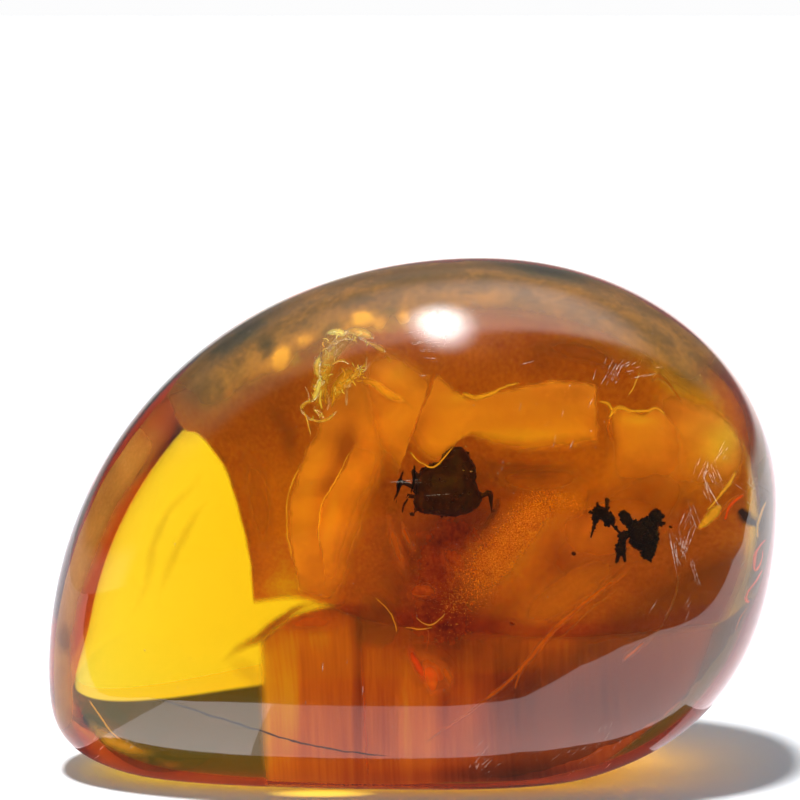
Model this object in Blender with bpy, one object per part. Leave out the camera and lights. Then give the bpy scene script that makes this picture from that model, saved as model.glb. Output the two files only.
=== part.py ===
"""Insect in amber: a polished amber nodule with a small black insect and a brown husk inside.

Two cloudy films hang in the amber: a front one, a curtain with a fold beside it, and a wide
back one.  The nodule stands on a flat that is ground along its underside.  It is parted by
two upright planes, one through the pockets of the insect, the husk and the front film, one
through the pocket of the back film, so that each can be set in its hollow.

Axes: X to the right, Y away from the viewer, Z up.  Z = 0 is the ground flat.
"""

import math

import bmesh
import bpy
import numpy as np
from mathutils import Matrix, Vector

MM = 0.001

# ---- amber nodule: outline in the XZ plane, four extreme points with two handles each
LEFT_X, LEFT_Z = -25.1, 7.0
LEFT_HANDLE_DOWN, LEFT_HANDLE_UP = 5.5, 16.1
TOP_X, TOP_Z = 4.7, 35.8
TOP_HANDLE_LEFT, TOP_HANDLE_RIGHT = 17.5, 11.6
RIGHT_X, RIGHT_Z = 25.1, 19.1
RIGHT_HANDLE_UP, RIGHT_HANDLE_DOWN = 9.2, 14.0
KEEL_X, KEEL_Z = 1.0, -1.45
KEEL_HANDLE_RIGHT, KEEL_HANDLE_LEFT = 16.5, 25.0
STEPS_PER_SIDE = 17            # outline points between two extreme points

# ---- amber nodule: depth
POLE_X, POLE_Z = 3.0, 17.5     # thickest point of the nodule
HALF_THICKNESS = 12.5
DEPTH_POWER = 2.3              # 2 is an ellipse, more is boxier
TAPER = 0.12                   # thicker to the right, thinner to the left, at the tips
RINGS = 24                     # rings from the front pole to the back pole

# ---- parting of the nodule: through the inclusions, and through the back film
FRONT_PARTING_Y = -5.0
BACK_PARTING_Y = 3.0
PARTING_GAP = 0.3

FLAT_COSINE = 0.99995          # a face this square to an axis is part of a flat

# ---- pockets for the two inclusions (centre and half axes)
INSECT_AT = (14.6, -5.0, 18.1)
INSECT_POCKET_SHIFT = (-0.7, 0.0, 0.25)
INSECT_POCKET = (3.2, 2.2, 2.8)
HUSK_AT = (2.6, -3.0, 20.8)
HUSK_POCKET_SHIFT = (-0.35, 0.0, 0.0)
HUSK_POCKET = (4.3, 2.7, 3.2)
POCKET_SEGMENTS = 20
POCKET_RINGS = 12

# ---- cloudy films: outlines in the XZ plane, smooth between their points
FILM_THICKNESS = 0.5
FILM_CLEARANCE = 0.3           # room round a film in its pocket
FILM_STEPS = 2                 # outline points for each point given
FRONT_FILM = (                 # on the front parting, clockwise from the curtain's top left
    (-6.0, 30.0), (-4.0, 30.8), (-1.6, 30.4), (1.8, 28.2), (4.0, 26.9), (6.0, 27.2),
    (9.6, 27.8), (12.0, 27.5), (12.6, 25.4), (14.7, 25.8), (15.5, 27.3), (18.0, 27.1),
    (20.6, 25.1), (20.6, 23.2), (20.2, 21.6), (19.2, 20.2), (18.2, 20.6), (17.2, 21.9),
    (14.5, 22.3), (12.2, 22.6), (9.7, 23.1), (7.2, 22.9), (3.5, 23.7), (1.6, 22.4),
    (0.0, 23.6), (-1.5, 21.5), (-2.5, 19.0), (-3.8, 15.8), (-4.9, 12.7), (-7.0, 12.9),
    (-7.6, 15.7), (-7.9, 18.3), (-7.8, 20.2), (-7.0, 23.4),
)
BACK_FILM = (                  # on the back parting, clockwise from its left corner
    (-14.0, 22.8), (-12.6, 25.1), (-9.1, 26.3), (-3.4, 28.2), (3.2, 29.6), (9.5, 29.2),
    (14.9, 27.1), (18.6, 23.7), (19.6, 21.2), (19.8, 18.6), (19.6, 16.0), (18.4, 11.6),
    (16.9, 8.8), (15.2, 7.0), (12.0, 5.0), (8.2, 4.0), (2.7, 3.4), (-4.4, 3.2),
    (-10.0, 3.2), (-10.1, 4.9), (-10.0, 6.9), (-11.8, 8.3), (-9.4, 9.8), (-7.0, 11.4),
    (-9.4, 12.1), (-9.8, 14.9), (-10.1, 17.6), (-11.1, 20.4), (-12.3, 22.3),
)

# ---- lobes of the inclusions
LOBE_SEGMENTS = 12
LOBE_RINGS = 7
LOBE_SQUARENESS = 0.86         # 1 is round, less is boxier

# ---- colours (linear), as seen in daylight
AMBER_COLOUR = (0.85, 0.36, 0.03, 0.45)
FILM_COLOUR = (0.62, 0.22, 0.02, 1.0)
INSECT_COLOUR = (0.009, 0.006, 0.005, 1.0)
HUSK_COLOUR = (0.055, 0.011, 0.006, 1.0)


# ------------------------------------------------------------------ scene helpers

def clear_scene():
    """Remove every object that is already there."""
    for obj in list(bpy.data.objects):
        bpy.data.objects.remove(obj)


def make_material(name, colour, roughness, transmission=0.0):
    """One Principled material."""
    mat = bpy.data.materials.new(name)
    mat.use_nodes = True
    shader = mat.node_tree.nodes["Principled BSDF"]
    shader.inputs["Base Color"].default_value = colour
    shader.inputs["Roughness"].default_value = roughness
    shader.inputs["Metallic"].default_value = 0.0
    shader.inputs["Transmission Weight"].default_value = transmission
    shader.inputs["Alpha"].default_value = colour[3]
    return mat


def add_object(name, mesh, smooth_angle=40.0):
    """Link a mesh as an object, smooth but for its sharp edges."""
    for face in mesh.polygons:
        face.use_smooth = True
    mesh.set_sharp_from_angle(angle=math.radians(smooth_angle))
    obj = bpy.data.objects.new(name, mesh)
    bpy.context.scene.collection.objects.link(obj)
    return obj


def apply_boolean(obj, tool, operation):
    """Apply one exact Boolean and remove the tool."""
    tool.hide_render = True
    tool.display_type = "WIRE"
    mod = obj.modifiers.new("cut", "BOOLEAN")
    mod.operation = operation
    mod.solver = "EXACT"
    mod.object = tool
    depsgraph = bpy.context.evaluated_depsgraph_get()
    result = bpy.data.meshes.new_from_object(obj.evaluated_get(depsgraph))
    obj.modifiers.remove(mod)
    old = obj.data
    obj.data = result
    bpy.data.meshes.remove(old)
    tool_mesh = tool.data
    bpy.data.objects.remove(tool)
    bpy.data.meshes.remove(tool_mesh)


def sharpen_flats(mesh):
    """Keep the shading crisp where the ground flat and the parting face begin."""
    bm = bmesh.new()
    bm.from_mesh(mesh)
    for edge in bm.edges:
        flat = [max(-f.normal.z, abs(f.normal.y)) > FLAT_COSINE for f in edge.link_faces]
        if len(flat) == 2 and flat[0] != flat[1]:
            edge.smooth = False
    bm.to_mesh(mesh)
    bm.free()


def finish_object(obj, name, mat, smooth_angle):
    """Name the finished solid, clean its mesh and give it its one material."""
    obj.name = name
    bm = bmesh.new()
    bm.from_mesh(obj.data)
    bmesh.ops.remove_doubles(bm, verts=bm.verts[:], dist=0.002 * MM)
    bmesh.ops.dissolve_degenerate(bm, edges=bm.edges[:], dist=0.001 * MM)
    bmesh.ops.triangulate(bm, faces=[f for f in bm.faces if len(f.verts) > 4])
    bmesh.ops.recalc_face_normals(bm, faces=bm.faces[:])
    bm.to_mesh(obj.data)
    bm.free()
    obj.data.name = name
    obj.data.materials.clear()
    obj.data.materials.append(mat)
    for face in obj.data.polygons:
        face.material_index = 0
        face.use_smooth = True
    obj.data.set_sharp_from_angle(angle=math.radians(smooth_angle))


# ------------------------------------------------------------------ amber nodule

def cubic(p0, p1, p2, p3, count):
    """Points of one cubic curve, without its last point."""
    t = np.linspace(0.0, 1.0, count, endpoint=False)[:, None]
    s = 1.0 - t
    p0, p1, p2, p3 = (np.array(p) for p in (p0, p1, p2, p3))
    return s ** 3 * p0 + 3 * s * s * t * p1 + 3 * s * t * t * p2 + t ** 3 * p3


def outline_points(count):
    """Outline of the nodule in the XZ plane, clockwise from its left tip, in mm."""
    left, top = (LEFT_X, LEFT_Z), (TOP_X, TOP_Z)
    right, keel = (RIGHT_X, RIGHT_Z), (KEEL_X, KEEL_Z)
    parts = [
        cubic(left, (LEFT_X, LEFT_Z + LEFT_HANDLE_UP),
              (TOP_X - TOP_HANDLE_LEFT, TOP_Z), top, count),
        cubic(top, (TOP_X + TOP_HANDLE_RIGHT, TOP_Z),
              (RIGHT_X, RIGHT_Z + RIGHT_HANDLE_UP), right, count),
        cubic(right, (RIGHT_X, RIGHT_Z - RIGHT_HANDLE_DOWN),
              (KEEL_X + KEEL_HANDLE_RIGHT, KEEL_Z), keel, count),
        cubic(keel, (KEEL_X - KEEL_HANDLE_LEFT, KEEL_Z),
              (LEFT_X, LEFT_Z - LEFT_HANDLE_DOWN), left, count),
    ]
    return np.concatenate(parts)


def nodule_mesh():
    """The whole nodule, before its flat is ground, as one closed mesh."""
    outline = outline_points(STEPS_PER_SIDE)
    pole = np.array((POLE_X, POLE_Z))
    ring_size = len(outline)
    verts = []
    for ring in range(1, RINGS):
        angle = math.pi * ring / RINGS
        shrink = math.sin(angle) ** (2.0 / DEPTH_POWER)
        side = -math.cos(angle)
        depth = math.copysign(abs(side) ** (2.0 / DEPTH_POWER), side)
        flat = pole + (outline - pole) * shrink
        for x, z in flat:
            y = depth * HALF_THICKNESS * (1.0 + TAPER * x / RIGHT_X)
            verts.append((x * MM, y * MM, z * MM))
    pole_y = HALF_THICKNESS * (1.0 + TAPER * POLE_X / RIGHT_X)
    front = len(verts)
    verts.append((POLE_X * MM, -pole_y * MM, POLE_Z * MM))
    verts.append((POLE_X * MM, pole_y * MM, POLE_Z * MM))
    faces = []
    for i in range(ring_size):
        j = (i + 1) % ring_size
        for ring in range(RINGS - 2):
            a, b = ring * ring_size + i, ring * ring_size + j
            faces.append((a, b, b + ring_size, a + ring_size))
        last = (RINGS - 2) * ring_size
        faces.append((front, j, i))
        faces.append((front + 1, last + i, last + j))
    mesh = bpy.data.meshes.new("nodule")
    mesh.from_pydata(verts, [], faces)
    mesh.update()
    return mesh


def keep_side(mesh, point, outward):
    """Cut a closed mesh by a plane, drop what lies beyond it and cap the cut."""
    bm = bmesh.new()
    bm.from_mesh(mesh)
    geometry = bm.verts[:] + bm.edges[:] + bm.faces[:]
    cut = bmesh.ops.bisect_plane(bm, geom=geometry, dist=1e-8, plane_co=point,
                                 plane_no=outward, clear_outer=True)
    edges = [g for g in cut["geom_cut"] if isinstance(g, bmesh.types.BMEdge)]
    bmesh.ops.contextual_create(bm, geom=edges)
    bmesh.ops.recalc_face_normals(bm, faces=bm.faces[:])
    bm.to_mesh(mesh)
    bm.free()
    return mesh


def ellipsoid(centre, half_axes, segments, rings, turn=0.0, lean=0.0, squareness=1.0):
    """Ellipsoid, boxier below a squareness of 1; turn is about Y, lean about Z (degrees)."""
    bm = bmesh.new()
    bmesh.ops.create_uvsphere(bm, u_segments=segments, v_segments=rings, radius=1.0)
    for vert in bm.verts:
        vert.co = Vector([math.copysign(abs(c) ** squareness, c) for c in vert.co])
    size = Matrix.Diagonal(Vector([a * MM for a in half_axes])).to_4x4()
    spin = (Matrix.Rotation(math.radians(lean), 4, "Z")
            @ Matrix.Rotation(math.radians(-turn), 4, "Y"))
    move = Matrix.Translation(Vector([c * MM for c in centre]))
    bmesh.ops.transform(bm, matrix=move @ spin @ size, verts=bm.verts[:])
    mesh = bpy.data.meshes.new("ellipsoid")
    bm.to_mesh(mesh)
    bm.free()
    return add_object("ellipsoid", mesh)


def shifted(point, shift):
    return tuple(p + s for p, s in zip(point, shift))


def film_outline(points):
    """Smooth closed curve (Catmull-Rom) through the points of a film's outline."""
    points = np.array(points)
    before, after, beyond = (np.roll(points, k, axis=0) for k in (1, -1, -2))
    spans = []
    for k in range(FILM_STEPS):
        t = k / FILM_STEPS
        spans.append(0.5 * (2 * points + (after - before) * t
                            + (2 * before - 5 * points + 4 * after - beyond) * t ** 2
                            + (3 * points - 3 * after + beyond - before) * t ** 3))
    return np.stack(spans, axis=1).reshape(-1, 2)


def film_slab(points, at_y, growth=0.0):
    """A film as an upright slab at a given Y, grown on every side by a clearance."""
    outline = film_outline(points)
    along = np.roll(outline, -1, axis=0) - np.roll(outline, 1, axis=0)
    outward = np.stack([-along[:, 1], along[:, 0]], axis=1)
    outward /= np.linalg.norm(outward, axis=1, keepdims=True)
    outline = outline + outward * growth
    half = FILM_THICKNESS / 2 + growth
    bm = bmesh.new()
    near = [bm.verts.new(((x * MM), (at_y - half) * MM, (z * MM))) for x, z in outline]
    far = [bm.verts.new(((x * MM), (at_y + half) * MM, (z * MM))) for x, z in outline]
    bm.faces.new(near)
    bm.faces.new(far[::-1])
    for k in range(len(near)):
        m = (k + 1) % len(near)
        bm.faces.new((near[m], near[k], far[k], far[m]))
    bmesh.ops.recalc_face_normals(bm, faces=bm.faces[:])
    mesh = bpy.data.meshes.new("film")
    bm.to_mesh(mesh)
    bm.free()
    return add_object("film", mesh)


def pocket_tools():
    """Cutters for the hollows of the two inclusions and the two films."""
    return [
        ellipsoid(shifted(INSECT_AT, INSECT_POCKET_SHIFT), INSECT_POCKET,
                  POCKET_SEGMENTS, POCKET_RINGS),
        ellipsoid(shifted(HUSK_AT, HUSK_POCKET_SHIFT), HUSK_POCKET,
                  POCKET_SEGMENTS, POCKET_RINGS),
        film_slab(FRONT_FILM, FRONT_PARTING_Y, FILM_CLEARANCE),
        film_slab(BACK_FILM, BACK_PARTING_Y, FILM_CLEARANCE),
    ]


def build_amber():
    """The three parts of the nodule, each with its share of the pockets."""
    mat = make_material("amber", AMBER_COLOUR, 0.05, transmission=1.0)
    half_gap = PARTING_GAP / 2
    front_low, front_high = FRONT_PARTING_Y - half_gap, FRONT_PARTING_Y + half_gap
    back_low, back_high = BACK_PARTING_Y - half_gap, BACK_PARTING_Y + half_gap
    for name, cuts in (("amber_front", ((front_low, 1.0),)),
                       ("amber_middle", ((front_high, -1.0), (back_low, 1.0))),
                       ("amber_back", ((back_high, -1.0),))):
        mesh = keep_side(nodule_mesh(), (0, 0, 0), (0, 0, -1))
        for edge_y, side in cuts:
            keep_side(mesh, (0, edge_y * MM, 0), (0, side, 0))
        obj = add_object(name, mesh)
        for tool in pocket_tools():
            apply_boolean(obj, tool, "DIFFERENCE")
        finish_object(obj, name, mat, 40.0)
        sharpen_flats(obj.data)


def build_films():
    """The two cloudy films."""
    mat = make_material("cloudy_resin", FILM_COLOUR, 0.6)
    for name, points, at_y in (("film_front", FRONT_FILM, FRONT_PARTING_Y),
                               ("film_back", BACK_FILM, BACK_PARTING_Y)):
        finish_object(film_slab(points, at_y), name, mat, 40.0)


# ------------------------------------------------------------------ inclusions

def limb(start, end, radius_start, radius_end, sides=7):
    """Straight tapered limb with rounded ends, in mm."""
    a, b = Vector(start), Vector(end)
    axis = (b - a).normalized()
    side = axis.orthogonal().normalized()
    other = axis.cross(side)
    stations = []
    for angle in (0.45, 1.0):
        back = math.cos(angle * math.pi / 2)
        stations.append((a - axis * radius_start * back, radius_start * math.sin(angle * math.pi / 2)))
    for angle in (1.0, 0.45):
        ahead = math.cos(angle * math.pi / 2)
        stations.append((b + axis * radius_end * ahead, radius_end * math.sin(angle * math.pi / 2)))
    bm = bmesh.new()
    rings = []
    for centre, radius in stations:
        ring = []
        for k in range(sides):
            turn = 2 * math.pi * k / sides
            spot = centre + (side * math.cos(turn) + other * math.sin(turn)) * radius
            ring.append(bm.verts.new(spot * MM))
        rings.append(ring)
    for low, high in zip(rings, rings[1:]):
        for k in range(sides):
            m = (k + 1) % sides
            bm.faces.new((low[k], low[m], high[m], high[k]))
    tip_start = bm.verts.new((a - axis * radius_start) * MM)
    tip_end = bm.verts.new((b + axis * radius_end) * MM)
    for k in range(sides):
        m = (k + 1) % sides
        bm.faces.new((tip_start, rings[0][m], rings[0][k]))
        bm.faces.new((tip_end, rings[-1][k], rings[-1][m]))
    bmesh.ops.recalc_face_normals(bm, faces=bm.faces[:])
    mesh = bpy.data.meshes.new("limb")
    bm.to_mesh(mesh)
    bm.free()
    return add_object("limb", mesh)


def fuse(pieces):
    """Union of overlapping pieces, as one solid."""
    body = pieces[0]
    for piece in pieces[1:]:
        apply_boolean(body, piece, "UNION")
    return body


# Insect, in mm from INSECT_AT: (centre, half axes, turn, lean)
INSECT_LOBES = (
    ((0.25, 0.00, 0.10), (0.86, 0.62, 0.82), 15, 0),      # thorax
    ((-0.30, 0.02, 0.52), (0.42, 0.40, 0.36), -20, 12),   # left shoulder
    ((0.62, -0.08, 0.66), (0.58, 0.46, 0.46), -10, 0),    # neck
    ((0.80, 0.02, 0.05), (0.34, 0.42, 0.75), 6, -15),     # right flank
    ((1.00, -0.15, 1.14), (0.44, 0.36, 0.46), 8, 0),      # head
    ((-0.05, 0.08, -0.45), (0.62, 0.48, 0.42), -35, 0),   # left flank
    ((0.62, 0.05, -0.60), (0.42, 0.42, 0.62), 12, 10),    # waist
    ((0.52, 0.05, -1.15), (0.43, 0.38, 0.38), 25, 0),     # tail
    ((-0.80, -0.20, 1.08), (0.58, 0.30, 0.31), -57, 0),   # upper leg, swollen
    ((-0.97, -0.10, -0.02), (0.32, 0.28, 0.30), 30, 0),   # knee
    ((-1.13, 0.00, -0.88), (0.33, 0.24, 0.44), 5, 0),     # lower leg
    ((-1.88, 0.28, 0.98), (0.38, 0.28, 0.36), 35, 0),     # foot, right lobe
    ((-2.27, 0.31, 1.33), (0.38, 0.27, 0.37), 15, 0),     # foot, middle lobe
    ((-2.64, 0.35, 1.28), (0.26, 0.24, 0.50), -12, 0),    # foot, left lobe
)
# Insect, in mm from INSECT_AT: (start, end, radius at start, radius at end)
INSECT_LIMBS = (
    ((1.00, -0.15, 0.85), (1.55, -0.25, 0.74), 0.20, 0.08),      # jaw
    ((0.20, 0.00, 0.50), (-0.62, -0.18, 0.78), 0.24, 0.15),      # joint of the upper leg
    ((0.00, 0.00, 0.10), (-0.95, -0.10, 0.02), 0.24, 0.16),      # joint of the knee
    ((-1.00, -0.08, -0.06), (-1.12, 0.01, -0.78), 0.18, 0.21),   # shin
    ((-1.22, 0.00, -1.00), (-1.40, 0.05, -1.66), 0.17, 0.09),    # left claw
    ((-1.00, 0.00, -1.00), (-0.88, -0.05, -1.60), 0.17, 0.09),   # right claw
    ((-1.05, -0.08, 0.02), (-1.84, 0.25, 0.84), 0.08, 0.08),     # long thin leg
    ((-2.06, 0.30, 1.45), (-1.98, 0.40, 2.16), 0.09, 0.14),      # toe, up
    ((-2.66, 0.35, 1.35), (-3.10, 0.20, 1.42), 0.13, 0.06),      # toe, left
    ((-2.68, 0.35, 0.90), (-2.98, 0.50, -0.15), 0.12, 0.05),     # toe, down
    ((-2.58, 0.35, 1.60), (-2.60, 0.20, 2.02), 0.10, 0.06),      # toe, upper left
    ((0.58, 0.05, -1.30), (0.66, 0.20, -1.68), 0.12, 0.05),      # tail tip
    ((0.30, 0.30, 0.10), (-0.30, 0.95, 0.75), 0.11, 0.06),       # far leg, thigh
    ((-0.28, 0.93, 0.80), (-0.62, 1.05, 0.10), 0.08, 0.045),     # far leg, shin
)

# Husk, in mm from HUSK_AT
HUSK_LOBES = (
    ((-0.10, 0.00, -0.15), (2.05, 1.30, 1.62), -6, 0),    # shell
    ((0.70, 0.05, 1.15), (1.05, 0.90, 1.35), 28, 0),      # shoulder
    ((-1.35, -0.25, -0.80), (0.85, 0.75, 0.75), 20, 0),   # head
    ((1.15, -0.25, -0.55), (1.00, 0.85, 0.95), 30, 0),    # rear lobe
)
HUSK_LIMBS = (
    ((-1.55, -0.50, 0.30), (-2.20, -0.65, 1.15), 0.22, 0.14),    # front leg, thigh
    ((-2.23, -0.67, 1.05), (-2.12, -0.75, -0.10), 0.16, 0.09),   # front leg, shin
    ((-1.60, -0.30, -0.20), (-3.05, -0.45, 0.45), 0.17, 0.12),   # second leg, thigh
    ((-3.08, -0.47, 0.38), (-3.32, -0.40, -1.00), 0.14, 0.07),   # second leg, shin
    ((-1.70, -0.50, -0.70), (-2.55, -0.64, -0.30), 0.13, 0.10),  # third leg, thigh
    ((-2.58, -0.66, -0.36), (-2.76, -0.62, -1.08), 0.11, 0.06),  # third leg, shin
    ((-1.75, -0.45, -1.05), (-2.35, -0.70, -1.70), 0.12, 0.05),  # feeler
    ((1.80, -0.30, -0.60), (2.72, -0.45, -0.20), 0.20, 0.13),    # hind leg, thigh
    ((2.75, -0.47, -0.28), (2.85, -0.52, -1.42), 0.15, 0.08),    # hind leg, shin
)


def build_inclusion(name, at, lobes, limbs, colour, roughness):
    """One inclusion as the union of its rounded lobes and its limbs."""
    pieces = []
    for centre, half_axes, turn, lean in lobes:
        pieces.append(ellipsoid(shifted(at, centre), half_axes, LOBE_SEGMENTS, LOBE_RINGS,
                                turn, lean, LOBE_SQUARENESS))
    for start, end, radius_start, radius_end in limbs:
        pieces.append(limb(shifted(at, start), shifted(at, end), radius_start, radius_end))
    body = fuse(pieces)
    finish_object(body, name, make_material(name, colour, roughness), 50.0)


clear_scene()
build_amber()
build_films()
build_inclusion("insect", INSECT_AT, INSECT_LOBES, INSECT_LIMBS, INSECT_COLOUR, 0.35)
build_inclusion("husk", HUSK_AT, HUSK_LOBES, HUSK_LIMBS, HUSK_COLOUR, 0.4)
for item in bpy.data.objects:
    size = item.dimensions
    count = sum(len(face.vertices) - 2 for face in item.data.polygons)
    print(item.name, count, "triangles", [round(s / MM, 2) for s in size], "mm")
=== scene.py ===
# %% [markdown]
# # Insect in amber
# A polished, drop-shaped nodule of clear amber stands on its ground underside. It holds a
# small black insect, a dark husk, cloudy veils, crack planes and a crumpled gas pocket.
# The imported model gives the frame: everything here is in its metres, Z up, X to the right,
# Y away from the viewer.

# %% Load the frame
import math

import bmesh
import bpy
import numpy as np
from mathutils import Matrix, Vector, noise


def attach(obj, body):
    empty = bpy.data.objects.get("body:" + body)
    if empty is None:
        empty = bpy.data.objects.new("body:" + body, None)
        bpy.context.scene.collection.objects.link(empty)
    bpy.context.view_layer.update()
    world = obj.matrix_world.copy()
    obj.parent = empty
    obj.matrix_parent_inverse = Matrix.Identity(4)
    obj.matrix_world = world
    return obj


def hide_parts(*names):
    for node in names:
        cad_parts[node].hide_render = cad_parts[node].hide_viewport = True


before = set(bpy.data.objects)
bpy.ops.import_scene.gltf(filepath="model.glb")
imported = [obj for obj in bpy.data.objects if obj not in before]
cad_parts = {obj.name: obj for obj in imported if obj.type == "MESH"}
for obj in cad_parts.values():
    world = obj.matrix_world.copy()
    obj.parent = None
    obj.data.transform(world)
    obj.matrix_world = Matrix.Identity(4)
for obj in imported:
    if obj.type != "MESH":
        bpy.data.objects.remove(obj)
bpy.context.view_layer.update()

MM = 0.001
print("nodes:", sorted(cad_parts))

# %% [markdown]
# Colours are written as the sRGB hex values that one would read off a colour chart, and one
# function turns them to the linear values that Blender's sockets take.


# %% Colours
def colour(hex_value):
    """An sRGB hex colour as linear RGBA."""
    parts = [int(hex_value[i:i + 2], 16) / 255 for i in (0, 2, 4)]
    linear = [p / 12.92 if p <= 0.04045 else ((p + 0.055) / 1.055) ** 2.4 for p in parts]
    return (*linear, 1.0)


def add_node(tree, kind, settings=None, inputs=None):
    """Add a node, set its settings, then set or link its inputs."""
    node = tree.nodes.new(kind)
    for key, value in (settings or {}).items():
        setattr(node, key, value)
    for key, value in (inputs or {}).items():
        if isinstance(value, bpy.types.NodeSocket):
            tree.links.new(value, node.inputs[key])
        else:
            node.inputs[key].default_value = value
    return node


print("white is", colour("FFFFFF"))

# %% [markdown]
# Three more helpers are used all through: one starts a material, one gives the wandering
# colour that most natural things have, and one turns points and faces into an object.


# %% Materials and pieces
def new_material(name):
    """An empty node material and its output node."""
    mat = bpy.data.materials.new(name)
    mat.use_nodes = True
    mat.node_tree.nodes.clear()
    out = add_node(mat.node_tree, "ShaderNodeOutputMaterial")
    return mat, mat.node_tree, out


def mottled(tree, size_mm, detail, first, second):
    """Noise of a real size and a colour that wanders with it; returns both sockets."""
    where = add_node(tree, "ShaderNodeTexCoord")
    mottle = add_node(tree, "ShaderNodeTexNoise", inputs={
        "Vector": where.outputs["Object"], "Scale": 1 / (size_mm * MM), "Detail": detail})
    tint = add_node(tree, "ShaderNodeMix", {"data_type": "RGBA"}, {
        0: mottle.outputs[0], 6: colour(first), 7: colour(second)})
    return mottle.outputs[0], tint.outputs[2]


def add_piece(name, verts, faces, mats, smooth=True, shades=False):
    """A mesh object in metres, from points in millimetres.

    What lies inside the amber throws no shadow out of it, so only the nodule shades."""
    mesh = bpy.data.meshes.new(name)
    mesh.from_pydata([tuple(c * MM for c in v) for v in verts], [], faces)
    mesh.update()
    if smooth:
        mesh.shade_smooth()
    for mat in mats:
        mesh.materials.append(mat)
    obj = bpy.data.objects.new(name, mesh)
    obj.visible_shadow = shades
    bpy.context.scene.collection.objects.link(obj)
    return obj


# %% [markdown]
# ## Camera
# A long lens, level with the piece and a little above it, keeps the outline free of
# perspective. The frame is 54.8 mm wide where the piece stands.

# %% Camera
ELEVATION = math.radians(10)
DISTANCE = 300.0          # mm from the aim point
FRAME_WIDTH = 54.8        # mm seen across the picture at that distance
SENSOR = 36.0
AIM = np.array((-0.82, 0.0, 25.7 / math.cos(ELEVATION)))
PICTURE = 800             # pixels across the picture

camera_back = np.array((0.0, -math.cos(ELEVATION), math.sin(ELEVATION)))
camera_right = np.array((1.0, 0.0, 0.0))
camera_up = np.array((0.0, math.sin(ELEVATION), math.cos(ELEVATION)))
camera_at = AIM + camera_back * DISTANCE

camera_data = bpy.data.cameras.new("camera")
camera_data.sensor_width = SENSOR
camera_data.lens = SENSOR * DISTANCE / FRAME_WIDTH
camera_data.clip_start = 0.01
camera = bpy.data.objects.new("camera", camera_data)
camera.location = Vector(camera_at) * MM
camera.rotation_euler = Vector(camera_back).to_track_quat("Z", "Y").to_euler()
bpy.context.scene.collection.objects.link(camera)
bpy.context.scene.camera = camera
bpy.context.scene.view_settings.view_transform = "Standard"
print("lens", round(camera_data.lens, 1), "mm")

# %% [markdown]
# ## The form of the nodule
# Its outline is four cubic curves between its left tip, top, blunt right end and keel. In
# depth it is a boxy ellipse that thins towards the tip. The same formula that makes the
# surface also tells how far out any point lies, which is used to place things inside.

# %% The form as a formula
LEFT, LEFT_HANDLES = (-25.1, 7.0), (5.5, 16.1)       # below, above
TOP, TOP_HANDLES = (4.7, 35.8), (17.5, 11.6)         # left, right
RIGHT, RIGHT_HANDLES = (25.1, 19.1), (9.2, 14.0)     # above, below
KEEL, KEEL_HANDLES = (1.0, -1.45), (16.5, 25.0)      # right, left
POLE = np.array((3.0, 17.5))
HALF_THICKNESS = 12.5
DEPTH_POWER = 2.3
TAPER = 0.12
TAPER_REACH = 25.1
FLAT_ROUNDING = 0.45     # mm of softness where the ground flat begins


def cubic(p0, p1, p2, p3, count):
    """Points of one cubic curve, without its last point."""
    t = np.linspace(0.0, 1.0, count, endpoint=False)[:, None]
    s = 1.0 - t
    p0, p1, p2, p3 = (np.array(p) for p in (p0, p1, p2, p3))
    return s ** 3 * p0 + 3 * s * s * t * p1 + 3 * s * t * t * p2 + t ** 3 * p3


def outline_points(count):
    """The outline in X and Z, clockwise from the left tip."""
    return np.concatenate([
        cubic(LEFT, (LEFT[0], LEFT[1] + LEFT_HANDLES[1]),
              (TOP[0] - TOP_HANDLES[0], TOP[1]), TOP, count),
        cubic(TOP, (TOP[0] + TOP_HANDLES[1], TOP[1]),
              (RIGHT[0], RIGHT[1] + RIGHT_HANDLES[0]), RIGHT, count),
        cubic(RIGHT, (RIGHT[0], RIGHT[1] - RIGHT_HANDLES[1]),
              (KEEL[0] + KEEL_HANDLES[0], KEEL[1]), KEEL, count),
        cubic(KEEL, (KEEL[0] - KEEL_HANDLES[1], KEEL[1]),
              (LEFT[0], LEFT[1] - LEFT_HANDLES[0]), LEFT, count),
    ])


fine_outline = outline_points(200) - POLE
spoke_angle = np.arctan2(fine_outline[:, 1], fine_outline[:, 0])
spoke_order = np.argsort(spoke_angle)
spoke_angle = spoke_angle[spoke_order]
spoke_length = np.hypot(fine_outline[:, 0], fine_outline[:, 1])[spoke_order]
spoke_angle = np.concatenate([spoke_angle - 2 * math.pi, spoke_angle, spoke_angle + 2 * math.pi])
spoke_length = np.concatenate([spoke_length] * 3)


def outness(points):
    """0 at the pole axis, 1 on the surface, more outside; points in mm, one per row."""
    dx, dz = points[:, 0] - POLE[0], points[:, 2] - POLE[1]
    ratio = np.hypot(dx, dz) / np.interp(np.arctan2(dz, dx), spoke_angle, spoke_length)
    half = HALF_THICKNESS * (1 + TAPER * points[:, 0] / TAPER_REACH)
    depth = np.abs(points[:, 1]) / half
    return (ratio ** DEPTH_POWER + depth ** DEPTH_POWER) ** (1 / DEPTH_POWER)


def outward(points, step=0.02):
    """Unit normals of the form at points near its surface."""
    grad = np.stack([outness(points + step * axis) - outness(points - step * axis)
                     for axis in np.eye(3)], axis=1)
    return grad / np.linalg.norm(grad, axis=1, keepdims=True)


# %% [markdown]
# Amber bends light, so a thing inside it is not seen where it is. To put a veil where the
# eye should meet it, the line of sight is traced backwards: from the camera to the surface,
# bent there by the law of refraction, and then followed to a share of its way through.

# %% Places inside, as they are seen
AMBER_IOR = 1.54
MARCH = 160
HALVINGS = 24


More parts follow.
